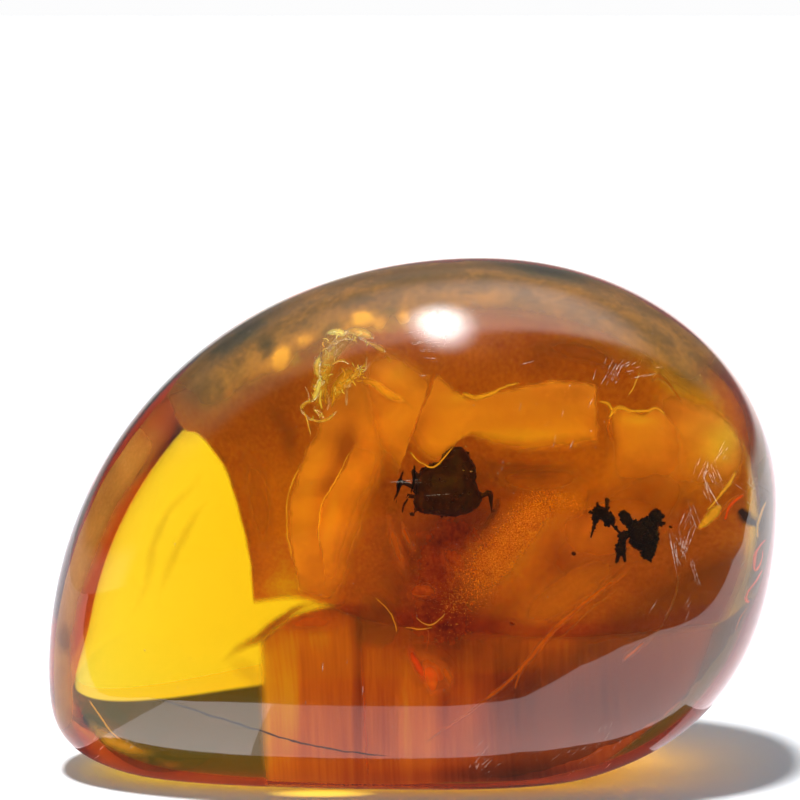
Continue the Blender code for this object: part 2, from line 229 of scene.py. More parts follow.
def crossing(start, direction, near, far, inside_first):
    """Distance along each ray to where it crosses the surface, by marching and halving."""
    steps = np.linspace(near, far, MARCH)
    low = np.full(len(start), float(near))
    high = np.full(len(start), float(far))
    found = np.zeros(len(start), bool)
    for before, after in zip(steps, steps[1:]):
        spot = start + direction * after
        out = (outness(spot) > 1) | (spot[:, 2] < 0)
        hit = ~found & (out if inside_first else ~out)
        low[hit], high[hit] = before, after
        found |= hit
    for _ in range(HALVINGS):
        middle = (low + high) / 2
        spot = start + direction * middle[:, None]
        out = (outness(spot) > 1) | (spot[:, 2] < 0)
        take = out if inside_first else ~out
        high = np.where(take, middle, high)
        low = np.where(take, low, middle)
    return high, found


def seen_at(spots):
    """3-D places, in mm, of rows (column, row, share): picture pixels and share of the way in."""
    spots = np.asarray(spots, float)
    scale = FRAME_WIDTH / PICTURE
    aim = (AIM + np.outer((spots[:, 0] - PICTURE / 2) * scale, camera_right)
           - np.outer((spots[:, 1] - PICTURE / 2) * scale, camera_up))
    ray = aim - camera_at
    ray /= np.linalg.norm(ray, axis=1, keepdims=True)
    start = np.repeat(camera_at[None], len(spots), axis=0)
    near, found = crossing(start, ray, DISTANCE - 25, DISTANCE + 20, False)
    entry = start + ray * near[:, None]
    normal = outward(entry)
    cosine = -(normal * ray).sum(1)
    ratio = 1 / AMBER_IOR
    bent = np.sqrt(1 - ratio ** 2 * (1 - cosine ** 2))
    inner = ratio * ray + (ratio * cosine - bent)[:, None] * normal
    way, _ = crossing(entry + inner * 0.05, inner, 0.05, 45, True)
    return entry + inner * (way * spots[:, 2])[:, None], found


def seen_on(spots):
    """3-D places, in mm, of rows (column, row, y): where the bent ray meets an upright plane."""
    spots = np.asarray(spots, float)
    flat = np.column_stack([spots[:, :2], np.zeros(len(spots))])
    entry, found = seen_at(flat)
    flat[:, 2] = 1.0
    leave, _ = seen_at(flat)
    way = (spots[:, 2] - entry[:, 1]) / (leave[:, 1] - entry[:, 1])
    return entry + (leave - entry) * np.clip(way, 0.03, 0.97)[:, None], found


print("behind pixel 640, 535 at y = -5 mm:", seen_on([(640, 535, -5.0)])[0].round(1))

# %% [markdown]
# ## Amber
# Baltic-type amber is fossil resin, polished by hand until it is as smooth as glass. Its body
# is see-through: light passes with an index of refraction near 1.54, and the resin takes out
# blue almost at once, green over centimetres and red hardly at all. That is a plain volume
# absorption, so thin places are lemon yellow and thick ones honey and orange.
# Polishing leaves hair-fine lines, worked as a very faint bump, and handling dulls the polish
# a little, which a thin rough coat gives: it spreads a soft glow round the highlight.

# %% Amber material
AMBER_DENSITY = 255.0
AMBER_PASSES = (0.973, 0.867, 0.02, 1.0)     # share of each colour the absorption keeps
POLISH_LINES_PER_M = 1 / (0.9 * MM)

amber, tree, out = new_material("polished_amber")
where = add_node(tree, "ShaderNodeTexCoord")
stretch = add_node(tree, "ShaderNodeMapping", inputs={
    "Vector": where.outputs["Object"], "Scale": (0.12, 0.3, 1.0)})
lines = add_node(tree, "ShaderNodeTexNoise", inputs={
    "Vector": stretch.outputs[0], "Scale": POLISH_LINES_PER_M, "Detail": 2.0})
polish = add_node(tree, "ShaderNodeBump", inputs={
    "Strength": 0.03, "Distance": 0.02 * MM, "Height": lines.outputs[0]})
body = add_node(tree, "ShaderNodeBsdfPrincipled", inputs={
    "Base Color": (1, 1, 1, 1), "Roughness": 0.0, "IOR": AMBER_IOR,
    "Transmission Weight": 1.0, "Normal": polish.outputs[0], "Coat Weight": 0.2,
    "Coat Roughness": 0.3})
resin = add_node(tree, "ShaderNodeVolumeAbsorption", inputs={
    "Color": AMBER_PASSES, "Density": AMBER_DENSITY})
tree.links.new(body.outputs[0], out.inputs["Surface"])
tree.links.new(resin.outputs[0], out.inputs["Volume"])

# %% [markdown]
# Everything inside is drawn along lines of a few places. A Catmull-Rom curve passes through
# every one of them and bends softly between, so the lines need no handles.


# %% Curves
def spline(points, count):
    """Catmull-Rom curve through rows, resampled to count points evenly along its length."""
    points = np.asarray(points, float)
    if len(points) == 2:
        t = np.linspace(0, 1, count)[:, None]
        return points[0] + (points[1] - points[0]) * t
    padded = np.concatenate([2 * points[:1] - points[1:2], points, 2 * points[-1:] - points[-2:-1]])
    dense = []
    for a, b, c, d in zip(padded, padded[1:], padded[2:], padded[3:]):
        t = np.linspace(0, 1, 16, endpoint=False)[:, None]
        dense.append(0.5 * (2 * b + (c - a) * t + (2 * a - 5 * b + 4 * c - d) * t ** 2
                            + (3 * b - 3 * c + d - a) * t ** 3))
    dense = np.concatenate(dense + [points[-1:]])
    gaps = np.hypot(np.diff(dense[:, 0]), np.diff(dense[:, 1]))
    run = np.concatenate([[0], np.cumsum(gaps)])
    even = np.linspace(0, run[-1], count)
    return np.stack([np.interp(even, run, dense[:, k]) for k in range(dense.shape[1])], axis=1)


def ease(x):
    """0 to 1 with a soft start and end."""
    x = np.clip(x, 0, 1)
    return x * x * (3 - 2 * x)


# %% [markdown]
# ## Gas pockets
# Bubbles and wrinkled gas films are holes in the resin, not things of their own. Each is a
# closed skin inside the amber mesh whose faces look into the hole, so that light bends and
# mirrors there as it does at the outside. A wrinkled film is drawn as thin, uneven tubes.


# %% Gas pockets
hollow_verts, hollow_faces = [], []


def hollow_tube(path, radii, steps=8, seed=0.0, unevenness=0.35, place=seen_on):
    """A thin gas tube along seen places; radii in mm at the places of the path."""
    rows = np.column_stack([np.asarray(path, float), np.broadcast_to(radii, len(path))])
    line = spline(rows, max(6, 5 * len(path)))
    spine, _ = place(line[:, :3])
    radius = line[:, 3].copy()
    radius[[0, -1]] *= 0.25
    along = np.gradient(spine, axis=0)
    along /= np.linalg.norm(along, axis=1, keepdims=True)
    side = np.cross(along, (0.0, 1.0, 0.0))
    side /= np.linalg.norm(side, axis=1, keepdims=True)
    up = np.cross(side, along)
    base = len(hollow_verts)
    for centre, r, a, b in zip(spine, radius, side, up):
        for k in range(steps):
            turn = 2 * math.pi * k / steps
            spot = centre + (a * math.cos(turn) + b * math.sin(turn)) * r
            swell = 1 + unevenness * noise.noise(Vector(spot) * 2.5 + Vector((seed, 0, 0)))
            hollow_verts.append(centre + (spot - centre) * swell)
    count = len(spine)
    hollow_verts.extend([spine[0] - along[0] * radius[0], spine[-1] + along[-1] * radius[-1]])
    start, end = len(hollow_verts) - 2, len(hollow_verts) - 1
    for ring in range(count - 1):
        for k in range(steps):
            a, b = base + ring * steps + k, base + ring * steps + (k + 1) % steps
            hollow_faces.append((a, a + steps, b + steps, b))
    last = base + (count - 1) * steps
    for k in range(steps):
        hollow_faces.append((start, base + k, base + (k + 1) % steps))
        hollow_faces.append((end, last + (k + 1) % steps, last + k))


print("a gas tube has rings of", hollow_tube.__defaults__[0], "places")

# %% [markdown]
# The crumpled pocket near the brow is a film of gas that collapsed as the resin shrank. Its
# main wrinkles are drawn one by one as strokes, each with its radii along the way.

# %% Wrinkles of the pocket
FILM_DEPTH = -6.2        # y in mm
FILM_STROKES = [
    ([(325, 335), (334, 332), (341, 334), (346, 332), (353, 333), (360, 332), (374, 339)],
     (0.05, 0.13, 0.12, 0.15, 0.16, 0.16, 0.05)),
    ([(358, 338), (366, 341), (372, 344), (379, 347), (386, 352)],
     (0.04, 0.08, 0.09, 0.10, 0.03)),
    ([(329, 352), (332, 346), (337, 342), (345, 339), (356, 340)],
     (0.05, 0.10, 0.12, 0.07, 0.03)),
    ([(321, 352), (319, 361), (318, 369), (321, 378)], (0.06, 0.18, 0.16, 0.06)),
    ([(322, 378), (318, 388), (315, 397), (314, 401)], (0.06, 0.10, 0.10, 0.05)),
    ([(314, 401), (307, 401), (302, 406), (301, 411), (306, 415), (310, 419), (321, 421),
      (329, 418), (337, 411)], (0.05, 0.06, 0.06, 0.07, 0.05, 0.07, 0.06, 0.08, 0.04)),
    ([(314, 406), (316, 411), (319, 416)], (0.03, 0.06, 0.03)),
    ([(359, 366), (355, 372), (352, 378), (349, 384), (343, 386)],
     (0.05, 0.07, 0.04, 0.07, 0.04)),
    ([(306, 414), (308, 424), (311, 434)], (0.03, 0.045, 0.02)),
    ([(331, 366), (336, 362), (343, 361), (349, 364)], (0.03, 0.05, 0.05, 0.03)),
    ([(327, 392), (329, 402), (327, 410)], (0.03, 0.05, 0.03)),
]
for number, (stroke, radii) in enumerate(FILM_STROKES):
    hollow_tube([(c, r, FILM_DEPTH) for c, r in stroke], radii, seed=number * 3.7)

print(len(FILM_STROKES), "wrinkles drawn")

# %% [markdown]
# Between them the film is crumpled like foil: short, bent wrinkles at random about two lines,
# with a width that says how far they stray. A few sparks of gas lie by themselves.

# %% Crumple and sparks
# lines of (column, row, width)
CRUMPLE = [(372, 342, 8), (352, 336, 14), (334, 344, 20), (325, 362, 16), (322, 384, 16),
           (315, 403, 22), (318, 417, 14)]
CRUMPLE_SIDE = [(366, 364, 10), (354, 376, 16), (344, 386, 12), (334, 398, 14)]
STRAY = 0.33             # share of the line's width that a wrinkle strays by
TURN_STRAY = 0.6         # radians
WRINKLE_REACH = (3, 9)   # half length in picture pixels
WRINKLE_RADII = (0.025, 0.075)   # mm
random = np.random.default_rng(5)
for line_of_places, count in ((CRUMPLE, 14), (CRUMPLE_SIDE, 6)):
    line = spline(line_of_places, 100)
    heading = np.unwrap(np.arctan2(*np.gradient(line[:, :2], axis=0).T[::-1]))
    for pick in random.integers(2, 98, count):
        col, row = line[pick, :2] + random.normal(0, STRAY, 2) * line[pick, 2]
        turn = heading[pick] + random.normal(0, TURN_STRAY)
        reach = random.uniform(*WRINKLE_REACH)
        bend = random.normal(0, 0.35) * reach
        step = np.array((math.cos(turn), math.sin(turn)))
        rows = [(col - step[0] * reach, row - step[1] * reach),
                (col - step[1] * bend, row + step[0] * bend),
                (col + step[0] * reach, row + step[1] * reach)]
        depth = FILM_DEPTH + random.normal(0, 0.2)
        hollow_tube([(c, r, depth) for c, r in rows], random.uniform(*WRINKLE_RADII), steps=6,
                    seed=random.uniform(0, 90))

# column, row, radius in mm
SPARKLES = [(505, 297, 0.18), (509, 300, 0.16), (512, 295, 0.14), (503, 294, 0.12),
            (515, 299, 0.10), (508, 293, 0.12),
            (463, 470, 0.05), (471, 471, 0.05), (509, 463, 0.03), (466, 446, 0.03)]
BROW_ROW = 310           # above it the sparks lie nearer to the polish
for number, (col, row, radius) in enumerate(SPARKLES):
    share = 0.2 if row < BROW_ROW else 0.3
    hollow_tube([(col - 1, row, share), (col + 1, row + 0.5, share)], radius, steps=6,
                seed=50.0 + number, unevenness=0.8, place=seen_at)
print(len(hollow_faces), "faces of gas pockets")

# %% [markdown]
# The nodule's surface is a net of rings from the front pole to the back pole. Below the floor
# line every point is pressed up to the ground flat, with a soft edge such as a wheel leaves.

# %% Amber nodule
OUTLINE_STEPS = 72       # points between two of the outline's extreme points
RINGS = 150


def press_flat(z):
    """Height after grinding the flat: 0 below the floor, softly rounded just above it."""
    soft = (z + FLAT_ROUNDING) ** 2 / (4 * FLAT_ROUNDING)
    return np.where(z > FLAT_ROUNDING, z, np.where(z < -FLAT_ROUNDING, 0.0, soft))


def nodule_net():
    """Points and faces of the whole outer surface."""
    rim = outline_points(OUTLINE_STEPS)
    size = len(rim)
    rings = []
    for ring in range(1, RINGS):
        angle = math.pi * ring / RINGS
        flat = POLE + (rim - POLE) * math.sin(angle) ** (2 / DEPTH_POWER)
        side = -math.cos(angle)
        depth = math.copysign(abs(side) ** (2 / DEPTH_POWER), side)
        half = HALF_THICKNESS * (1 + TAPER * flat[:, 0] / TAPER_REACH)
        rings.append(np.stack([flat[:, 0], depth * half, press_flat(flat[:, 1])], axis=1))
    pole_depth = HALF_THICKNESS * (1 + TAPER * POLE[0] / TAPER_REACH)
    verts = np.concatenate(rings + [[(POLE[0], -pole_depth, POLE[1])],
                                    [(POLE[0], pole_depth, POLE[1])]])
    faces = []
    front = len(verts) - 2
    last = (RINGS - 2) * size
    for i in range(size):
        j = (i + 1) % size
        for ring in range(RINGS - 2):
            a, b = ring * size + i, ring * size + j
            faces.append((a, b, b + size, a + size))
        faces.append((front, j, i))
        faces.append((front + 1, last + i, last + j))
    return verts, faces


nodule_verts, nodule_faces = nodule_net()
offset = len(nodule_verts)
all_faces = nodule_faces + [tuple(k + offset for k in face) for face in hollow_faces]
nodule = add_piece("amber_nodule", np.concatenate([nodule_verts, hollow_verts]), all_faces,
                   [amber], shades=True)
signed = sum(Vector(nodule_verts[f[0]]).dot(Vector(nodule_verts[f[1]]).cross(
    Vector(nodule_verts[f[2]]))) for f in nodule_faces[:2000])
print("outward" if signed > 0 else "inward", len(nodule_faces), "faces")
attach(nodule, "root")
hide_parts("amber_front", "amber_middle", "amber_back")

# %% [markdown]
# ## Veils
# Resin flowed in layers, and between them lie cloudy sheets: films of tiny bubbles and dust.
# Each sheet is a net stretched between rails. A rail is a line of places as they are seen,
# with the depth of the plane it hangs on. The net carries two values at every point. The
# cover falls to nothing at the sheet's edges, where the film thins out. The thickness and shade
# has a base value and soft spots, partly denser or thinner film and partly painted light and
# shade, so that one sheet runs from yellow to dark brown as real cloudy resin does. Its edges
# wander a little, as a torn film's do.


# %% Veil nets
def spot_values(grid, base, spots):
    """Base value plus soft spots (column, row, half width, half height, lean, change).

    The spots are partly denser or thinner film and partly painted light and shade.
    """
    value = np.full(len(grid), float(base))
    for col, row, wide, high, lean, change in spots:
        turn = math.radians(lean)
        right, down = grid[:, 0] - col, grid[:, 1] - row
        a = right * math.cos(turn) - down * math.sin(turn)
        b = right * math.sin(turn) + down * math.cos(turn)
        value += change * np.exp(-(a / wide) ** 2 - (b / high) ** 2)
    return np.clip(value, 0, 1)


print("a bare film is", spot_values(np.zeros((1, 2)), 0.5, ())[0], "thick")

# %% [markdown]
# A veil could be a modelled solid, but real ones have no inside: they are seen as a shade
# that comes and goes. So each is one sheet, rippled a little towards and away from the eye,
# and points that would lie outside the amber are dropped with their faces.


# %% Veil sheets
def store(obj, label, values):
    """Keep one number for each point of a mesh, for its material to read."""
    layer = obj.data.attributes.new(label, "FLOAT", "POINT")
    layer.data.foreach_set("value", np.array(values, np.float32))


def hang_film(name, places, faces, mat, cover, thickness_and_shade):
    """A piece of film with its two values at every point."""
    obj = add_piece(name, places, faces, [mat])
    store(obj, "cover", cover)
    store(obj, "thickness_and_shade", thickness_and_shade)
    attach(obj, "root")
    return obj


def make_veil(name, rails, mat, fades=(0.1, 0.1, 0.1, 0.1), along=60, across=30, ripple=0.15,
              ripple_mm=2.0, seed=0.0, place=None, wander=0.0, base=0.5, spots=()):
    """A rippled sheet through rails of (column, row, depth) rows.

    fades are the shares of the sheet over which its cover dies away: at the rails' starts,
    at their ends, at the first rail and at the last rail."""
    lines = np.stack([spline(rail, along) for rail in rails])
    if len(rails) == 2:
        t = np.linspace(0, 1, across)[:, None, None]
        grid = lines[0] + (lines[1] - lines[0]) * t
    else:
        grid = np.stack([spline(lines[:, k], across) for k in range(along)], axis=1)
    rows, columns = grid.shape[:2]
    grid = grid.reshape(-1, 3)
    for axis in (0, 1):
        shift = Vector((seed + 31 * axis, 0, 5))
        grid[:, axis] += wander * np.array([noise.noise(Vector((c / 17, r / 17, 0)) + shift)
                                            + 0.5 * noise.noise(Vector((c / 6, r / 6, 0)) + shift)
                                            for c, r in grid[:, :2]])
    places, found = (place or seen_on)(grid)
    waves = np.array([noise.noise(Vector(p / ripple_mm) + Vector((seed, seed, seed)))
                      for p in places])
    places[:, 1] += waves * ripple
    u = np.tile(np.linspace(0, 1, columns), rows)
    v = np.repeat(np.linspace(0, 1, rows), columns)
    cover = np.ones(len(u))
    for share, way in zip(fades, (u, 1 - u, v, 1 - v)):
        if share > 0:
            cover *= ease(way / share)
    faces = [(r * columns + c, r * columns + c + 1, (r + 1) * columns + c + 1,
              (r + 1) * columns + c) for r in range(rows - 1) for c in range(columns - 1)]
    inside = found & (outness(places) < 0.9998)
    faces = [face for face in faces if inside[list(face)].all()]
    return hang_film(name, places, faces, mat, cover, spot_values(grid, base, spots))


# %% [markdown]
# Cracks and creases are the same film, but narrow. A ribbon is drawn by one line with a
# width, and many fine strokes are put together in one mesh, which keeps the scene light.


# %% Ribbons and strokes
def sideways(line):
    """Unit steps across a drawn line, in picture pixels."""
    along = np.gradient(line[:, :2], axis=0)
    along /= np.linalg.norm(along, axis=1, keepdims=True)
    return np.stack([-along[:, 1], along[:, 0]], axis=1)


def make_ribbon(name, path, depth, mat, ripple=0.1, seed=0.0, ends=(0.12, 0.12), side=0.45,
                base=0.5):
    """A narrow veil along (column, row, width) rows, its width in picture pixels."""
    line = spline(path, 40)
    across = sideways(line) * line[:, 2:3] / 2
    rails = [np.column_stack([line[:, :2] + across * k, np.full(len(line), depth)])
             for k in (-1, 0, 1)]
    return make_veil(name, rails, mat, fades=(*ends, side, side), along=60, across=9,
                     ripple=ripple, ripple_mm=1.0, seed=seed, wander=1.2, base=base)


def make_strokes(name, strokes, depth, mat, seed):
    """Many thin streaks of film in one mesh, from (column, row, width) rows about one depth."""
    random = np.random.default_rng(seed)
    steps = 16
    rows, faces, cover, thickness_and_shade = [], [], [], []
    for number, stroke in enumerate(strokes):
        line = spline(stroke, steps)
        across = sideways(line) * line[:, 2:3] * 0.7
        deep = np.full((3 * steps, 1), depth + random.normal(0, 0.25))
        rows.append(np.hstack([np.concatenate([line[:, :2] + across * k for k in (-1, 0, 1)]),
                               deep]))
        ends = ease(np.minimum(np.arange(steps), np.arange(steps)[::-1]) / 4)
        cover.extend(np.concatenate([0.2 * ends, ends, 0.2 * ends]))
        thickness_and_shade.extend([random.uniform(0.1, 0.9)] * 3 * steps)
        for row in (3 * number * steps, (3 * number + 1) * steps):
            for k in range(row, row + steps - 1):
                faces.append((k, k + 1, k + 1 + steps, k + steps))
    places, _ = seen_on(np.concatenate(rows))
    hang_film(name, places, faces, mat, cover, thickness_and_shade)


# %% [markdown]
# The film's look: light that falls on it scatters back or comes through it, so it is part
# diffuse and part translucent. Its colour runs along a scale from thin to thick. Clouds a few
# millimetres wide and a fine grain shift the thickness about, and the same clouds raise a
# faint relief. The cover is roughened before it is cut, which makes the edges ragged.


# %% Veil material
def colour_scale(tree, value, colours):
    """A colour ramp node through evenly spaced hex colours; returns its colour socket."""
    node = add_node(tree, "ShaderNodeValToRGB", inputs={0: value})
    stops = node.color_ramp.elements
    while len(stops) < len(colours):
        stops.new(0.5)
    for k in range(len(colours)):
        stops[k].position = k / (len(colours) - 1)
    for stop, hex_value in zip(stops, colours):
        stop.color = colour(hex_value)
    return node.outputs[0]


def film_material(name, colours, cover_most, cloud_mm, cloud=0.35, grain_mm=0.25, grain=0.12,
                  backlight=0.45, stretch=(1.0, 1.0, 1.0), ragged=0.35, relief_mm=0.12):
    """Cloudy film coloured by its thickness and painted shade, with clouds, grain and ragged edges."""
    mat, tree, out = new_material(name)
    where = add_node(tree, "ShaderNodeTexCoord")
    drawn = add_node(tree, "ShaderNodeMapping", inputs={
        "Vector": where.outputs["Object"], "Scale": stretch})

    def cloud_of(size_mm, detail, distortion=0.0):
        return add_node(tree, "ShaderNodeTexNoise", inputs={
            "Vector": drawn.outputs[0], "Scale": 1 / (size_mm * MM), "Detail": detail,
            "Distortion": distortion}).outputs[0]

    def math_node(operation, a, b, c=0.0):
        return add_node(tree, "ShaderNodeMath", {"operation": operation},
                        {0: a, 1: b, 2: c}).outputs[0]

    wide = cloud_of(cloud_mm, 3.0, 0.6)
    fine = cloud_of(grain_mm, 1.0)
    thickness_and_shade = add_node(tree, "ShaderNodeAttribute", {"attribute_name": "thickness_and_shade"})
    shifted = math_node("MULTIPLY_ADD", wide, 2 * cloud, thickness_and_shade.outputs["Fac"])
    shifted = math_node("MULTIPLY_ADD", fine, 2 * grain, shifted)
    shifted = math_node("SUBTRACT", shifted, cloud + grain)
    tint = colour_scale(tree, shifted, colours)
    cover = add_node(tree, "ShaderNodeAttribute", {"attribute_name": "cover"})
    torn = cover.outputs["Fac"]
    if ragged > 0:
        torn = math_node("MULTIPLY_ADD", cloud_of(0.7, 2.0), ragged, torn)
    film = add_node(tree, "ShaderNodeMapRange", inputs={
        "Value": torn, "From Min": 0.03 + ragged * 0.5, "From Max": 0.97 + ragged * 0.35,
        "To Max": cover_most})
    relief = add_node(tree, "ShaderNodeBump", inputs={
        "Strength": 0.7, "Distance": relief_mm * MM, "Height": wide})
    front = add_node(tree, "ShaderNodeBsdfPrincipled", inputs={
        "Base Color": tint, "Roughness": 0.8, "Specular IOR Level": 0.0,
        "Normal": relief.outputs[0]})
    through = add_node(tree, "ShaderNodeBsdfTranslucent", inputs={
        "Color": tint, "Normal": relief.outputs[0]})
    lit = add_node(tree, "ShaderNodeMixShader", inputs={
        0: backlight, 1: front.outputs[0], 2: through.outputs[0]})
    clear = add_node(tree, "ShaderNodeBsdfTransparent")
    film_mix = add_node(tree, "ShaderNodeMixShader", inputs={
        0: film.outputs[0], 1: clear.outputs[0], 2: lit.outputs[0]})
    tree.links.new(film_mix.outputs[0], out.inputs["Surface"])
    return mat


# %% [markdown]
# Each film is named for its colour and what it stands for. Smoke and honey are dense clouds of
# tiny bubbles, rust is resin darkened by air and umber a darker brown film, and the brown haze
# is partly darker resin and partly painted shade. Gold, ember, flame and gilt are thin gas skins
# whose catching of the light is painted into their bright colours. The scales run from thin to
# thick.

# %% Films
SMOKE_SCALE = ("F5DC60", "E49C50", "C47246", "944C34", "582A1E")
HONEY_SCALE = ("FCD478", "F6B06C", "EA9C66", "B46C44")
smoke = film_material("smoke_veil", SMOKE_SCALE, 0.97, 6.0, cloud=0.30, backlight=0.6,
                      ragged=0.0)
column = film_material("column_veil", SMOKE_SCALE, 0.97, 1.8, cloud=0.12, backlight=0.6,
                       stretch=(1.0, 1.0, 0.06), ragged=0.0)
honey = film_material("honey_veil", HONEY_SCALE, 0.97, 3.0, cloud=0.16, grain=0.03,
                      ragged=0.18)
umber = film_material("umber_veil", ("E0A060", "C07C4C", "98583C"), 0.92, 3.0, cloud=0.2,
                      ragged=0.1)
rust = film_material("rust_veil", ("C86C30", "A04824", "70281A", "40160E"), 0.9, 1.6, cloud=0.4,
                     grain=0.3, ragged=0.1)
# brown haze: partly darker resin, partly painted shade
shade = film_material("brown_haze_and_shade", ("985838", "5A3018", "3C1C0C"), 0.6, 4.0, grain=0.0,
                      backlight=0.3, ragged=0.0)
# bright films: their colours paint the glints and glow of gas skins
gold = film_material("gold_glint_film", ("FFE090", "FFC050"), 0.8, 0.8, relief_mm=0.2)
ember = film_material("ember_glint_film", ("F09048", "C06428"), 0.6, 0.6, relief_mm=0.2)
flame = film_material("flame_glow_film", ("FF9038", "F86018", "D84810"), 0.85, 0.6, cloud=0.4,
                      ragged=0.1)
gilt = film_material("gilt_glint_film", ("FFFFB0", "FFF080", "F0C050", "B07828"), 0.95, 0.5, cloud=0.3,
                     ragged=0.1, relief_mm=0.2)
faint = film_material("faint_film", ("E0A850", "C08030"), 0.22, 1.5)
soot = film_material("soot_film", ("2A100A", "0C0403"), 0.95, 0.4, ragged=0.7)
olive = film_material("olive_haze_and_reflection", ("FFC44C", "C08C3C", "7C6030", "484426", "182420"), 0.95, 1.8,
                      cloud=0.2, grain_mm=0.4, grain=0.08, backlight=0.4, ragged=0.0)
tawny = film_material("tawny_haze", ("FCD088", "D09C58", "8C6434"), 0.85, 3.0, cloud=0.3,
                      ragged=0.0)
granular = film_material("granular_fog", ("FFC050", "E08830", "A85020"), 0.8, 1.2, cloud=0.3,
                         grain_mm=0.10, grain=0.8, ragged=0.1)


print("films:", [mat.name for mat in bpy.data.materials])

# %% [markdown]
# A tiny gas-filled split is a mirror seen through resin: it glints yellow where it faces the
# light and glows where light comes from behind. So it is half metal-like gloss, half paper.


# %% Flake material
def flake_material():
    """Bright glint: a little mirror, a little paper, yellow from the resin round it."""
    mat, tree, out = new_material("crackle_glint")
    _, tint = mottled(tree, 0.4, 2.0, "FFD868", "F08828")
    glint = add_node(tree, "ShaderNodeBsdfPrincipled", inputs={
        "Base Color": tint, "Roughness": 0.3, "Metallic": 0.6})
    glow = add_node(tree, "ShaderNodeBsdfTranslucent", inputs={"Color": tint})
    both = add_node(tree, "ShaderNodeMixShader", inputs={
        0: 0.3, 1: glint.outputs[0], 2: glow.outputs[0]})
    tree.links.new(both.outputs[0], out.inputs["Surface"])
    return mat


flake = flake_material()
print(len(bpy.data.materials), "materials so far")

# %% [markdown]
# The deepest and largest cloud fills the back of the nodule from the left edge of the dark
# zone to the right. Its spots are painted light and shade as well as denser film: dark pools
# low in the middle, and bright, thin places along the brow.

# %% Back cloud
FRONT_Y, BACK_Y = -5.0, 3.0      # mm: where the two cloudy films hang


def hang(depth, *rails):
    """Rails of (column, row) points, all hung at one depth."""
    return [[(col, row, depth) for col, row in rail] for rail in rails]


BACK_SMOKE = hang(
    BACK_Y,
    [(164, 392), (180, 428), (198, 436), (222, 468), (238, 515), (248, 560), (252, 607)],
    [(250, 350), (270, 400), (285, 440), (296, 480), (300, 520), (302, 560), (304, 604)],
    [(345, 318), (370, 370), (380, 420), (380, 470), (380, 520), (380, 570), (380, 630)],
    [(455, 288), (470, 360), (470, 410), (470, 460), (470, 520), (470, 580), (470, 640)],
    [(565, 292), (570, 360), (575, 420), (575, 480), (575, 540), (575, 590), (575, 645)],
    [(665, 328), (670, 390), (675, 440), (675, 490), (675, 540), (672, 590), (668, 635)],
    [(738, 392), (757, 425), (765, 460), (768, 500), (765, 540), (757, 580), (738, 625)])
# the spots paint light and shade as well as denser and thinner film
BACK_SPOTS = [           # column, row, half width, half height, lean in degrees, change
    (236, 425, 34, 36, 20, 0.20), (238, 520, 12, 70, 14, 0.16), (284, 588, 30, 18, 0, -0.36),
    (284, 530, 24, 60, 0, -0.16), (280, 398, 50, 20, 25, 0.12), (291, 357, 10, 14, 20, -0.45),
    (362, 322, 44, 16, 12, -0.50), (330, 352, 26, 18, 20, -0.22), (420, 322, 34, 16, 0, -0.2),
    (520, 352, 80, 20, 0, 0.12), (600, 368, 60, 20, 0, 0.1), (680, 384, 40, 18, -30, -0.45),
    (446, 545, 62, 52, 0, 0.08), (395, 590, 44, 50, 0, 0.24), (430, 655, 60, 36, 0, 0.18),
    (475, 352, 40, 10, 0, -0.12), (500, 345, 10, 6, 0, 0.1),
    (505, 478, 62, 18, -8, 0.24), (512, 560, 86, 20, 40, -0.26), (590, 480, 50, 24, 0, -0.06),
    (690, 560, 44, 60, 20, 0.14), (560, 640, 90, 26, 25, 0.12), (380, 470, 26, 60, 15, 0.14),
    (715, 425, 26, 40, -20, -0.2),
]
back_smoke = make_veil("veil_back_smoke", BACK_SMOKE, smoke, fades=(0.04, 0.04, 0.008, 0.05),
                       along=150, across=150, ripple=0.3, ripple_mm=4.0, seed=3.1, wander=0.8,
                       base=0.42, spots=BACK_SPOTS)
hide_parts("film_back")

print("back cloud:", len(back_smoke.data.polygons), "faces")

# %% [markdown]
# Below it the cloud was drawn out into columns as the resin ran down. The same kind of sheet
# takes a film whose noise is stretched upright, which gives the streaks. Tall, narrow spots
# make the bright columns and the dark gaps between them.

# %% Columns
LOW_SMOKE = hang(
    BACK_Y + 0.1,
    [(256, 640), (272, 626), (300, 608), (350, 598), (450, 608), (600, 618), (740, 588)],
    [(256, 690), (290, 690), (330, 690), (400, 690), (500, 690), (600, 690), (706, 680)],
    [(258, 745), (290, 745), (330, 745), (400, 745), (500, 742), (580, 738), (670, 718)],
    [(262, 781), (300, 783), (340, 784), (400, 784), (480, 782), (540, 778), (610, 764)])
LOW_SPOTS = [
    (262, 700, 16, 90, 0, -0.40), (290, 700, 14, 60, 0, -0.36), (300, 640, 40, 14, 12, -0.1),
    (240, 656, 30, 10, 25, 0.3), (328, 640, 22, 26, 0, -0.12), (359, 690, 6, 90, 0, 0.35),
    (372, 618, 26, 26, 0, 0.4), (385, 720, 14, 80, 0, 0.12), (406, 730, 9, 80, 0, -0.2),
    (424, 740, 10, 60, 0, -0.12), (445, 690, 8, 60, 0, 0.2), (505, 690, 40, 60, 0, 0.35),
    (600, 700, 80, 60, 0, 0.3), (330, 610, 60, 8, -4, 0.2), (540, 772, 90, 14, 0, 0.3),
    (468, 700, 5, 60, 0, -0.15), (303, 700, 4, 70, 0, 0.12), (480, 778, 110, 12, 0, 0.3),
]
make_veil("veil_low_smoke", LOW_SMOKE, column, fades=(0.03, 0.05, 0.06, 0.0), along=200,
          across=90, ripple=0.2, ripple_mm=4.0, seed=8.8, base=0.36, spots=LOW_SPOTS)

print("columns: spots", len(LOW_SPOTS))

# %% [markdown]
# In front hangs a honey-coloured curtain with a fold and a flap, the edge of a later flow.
# Each layer is its own sheet a little before the last, so that where two overlap the film
# looks denser, as it does in the resin.

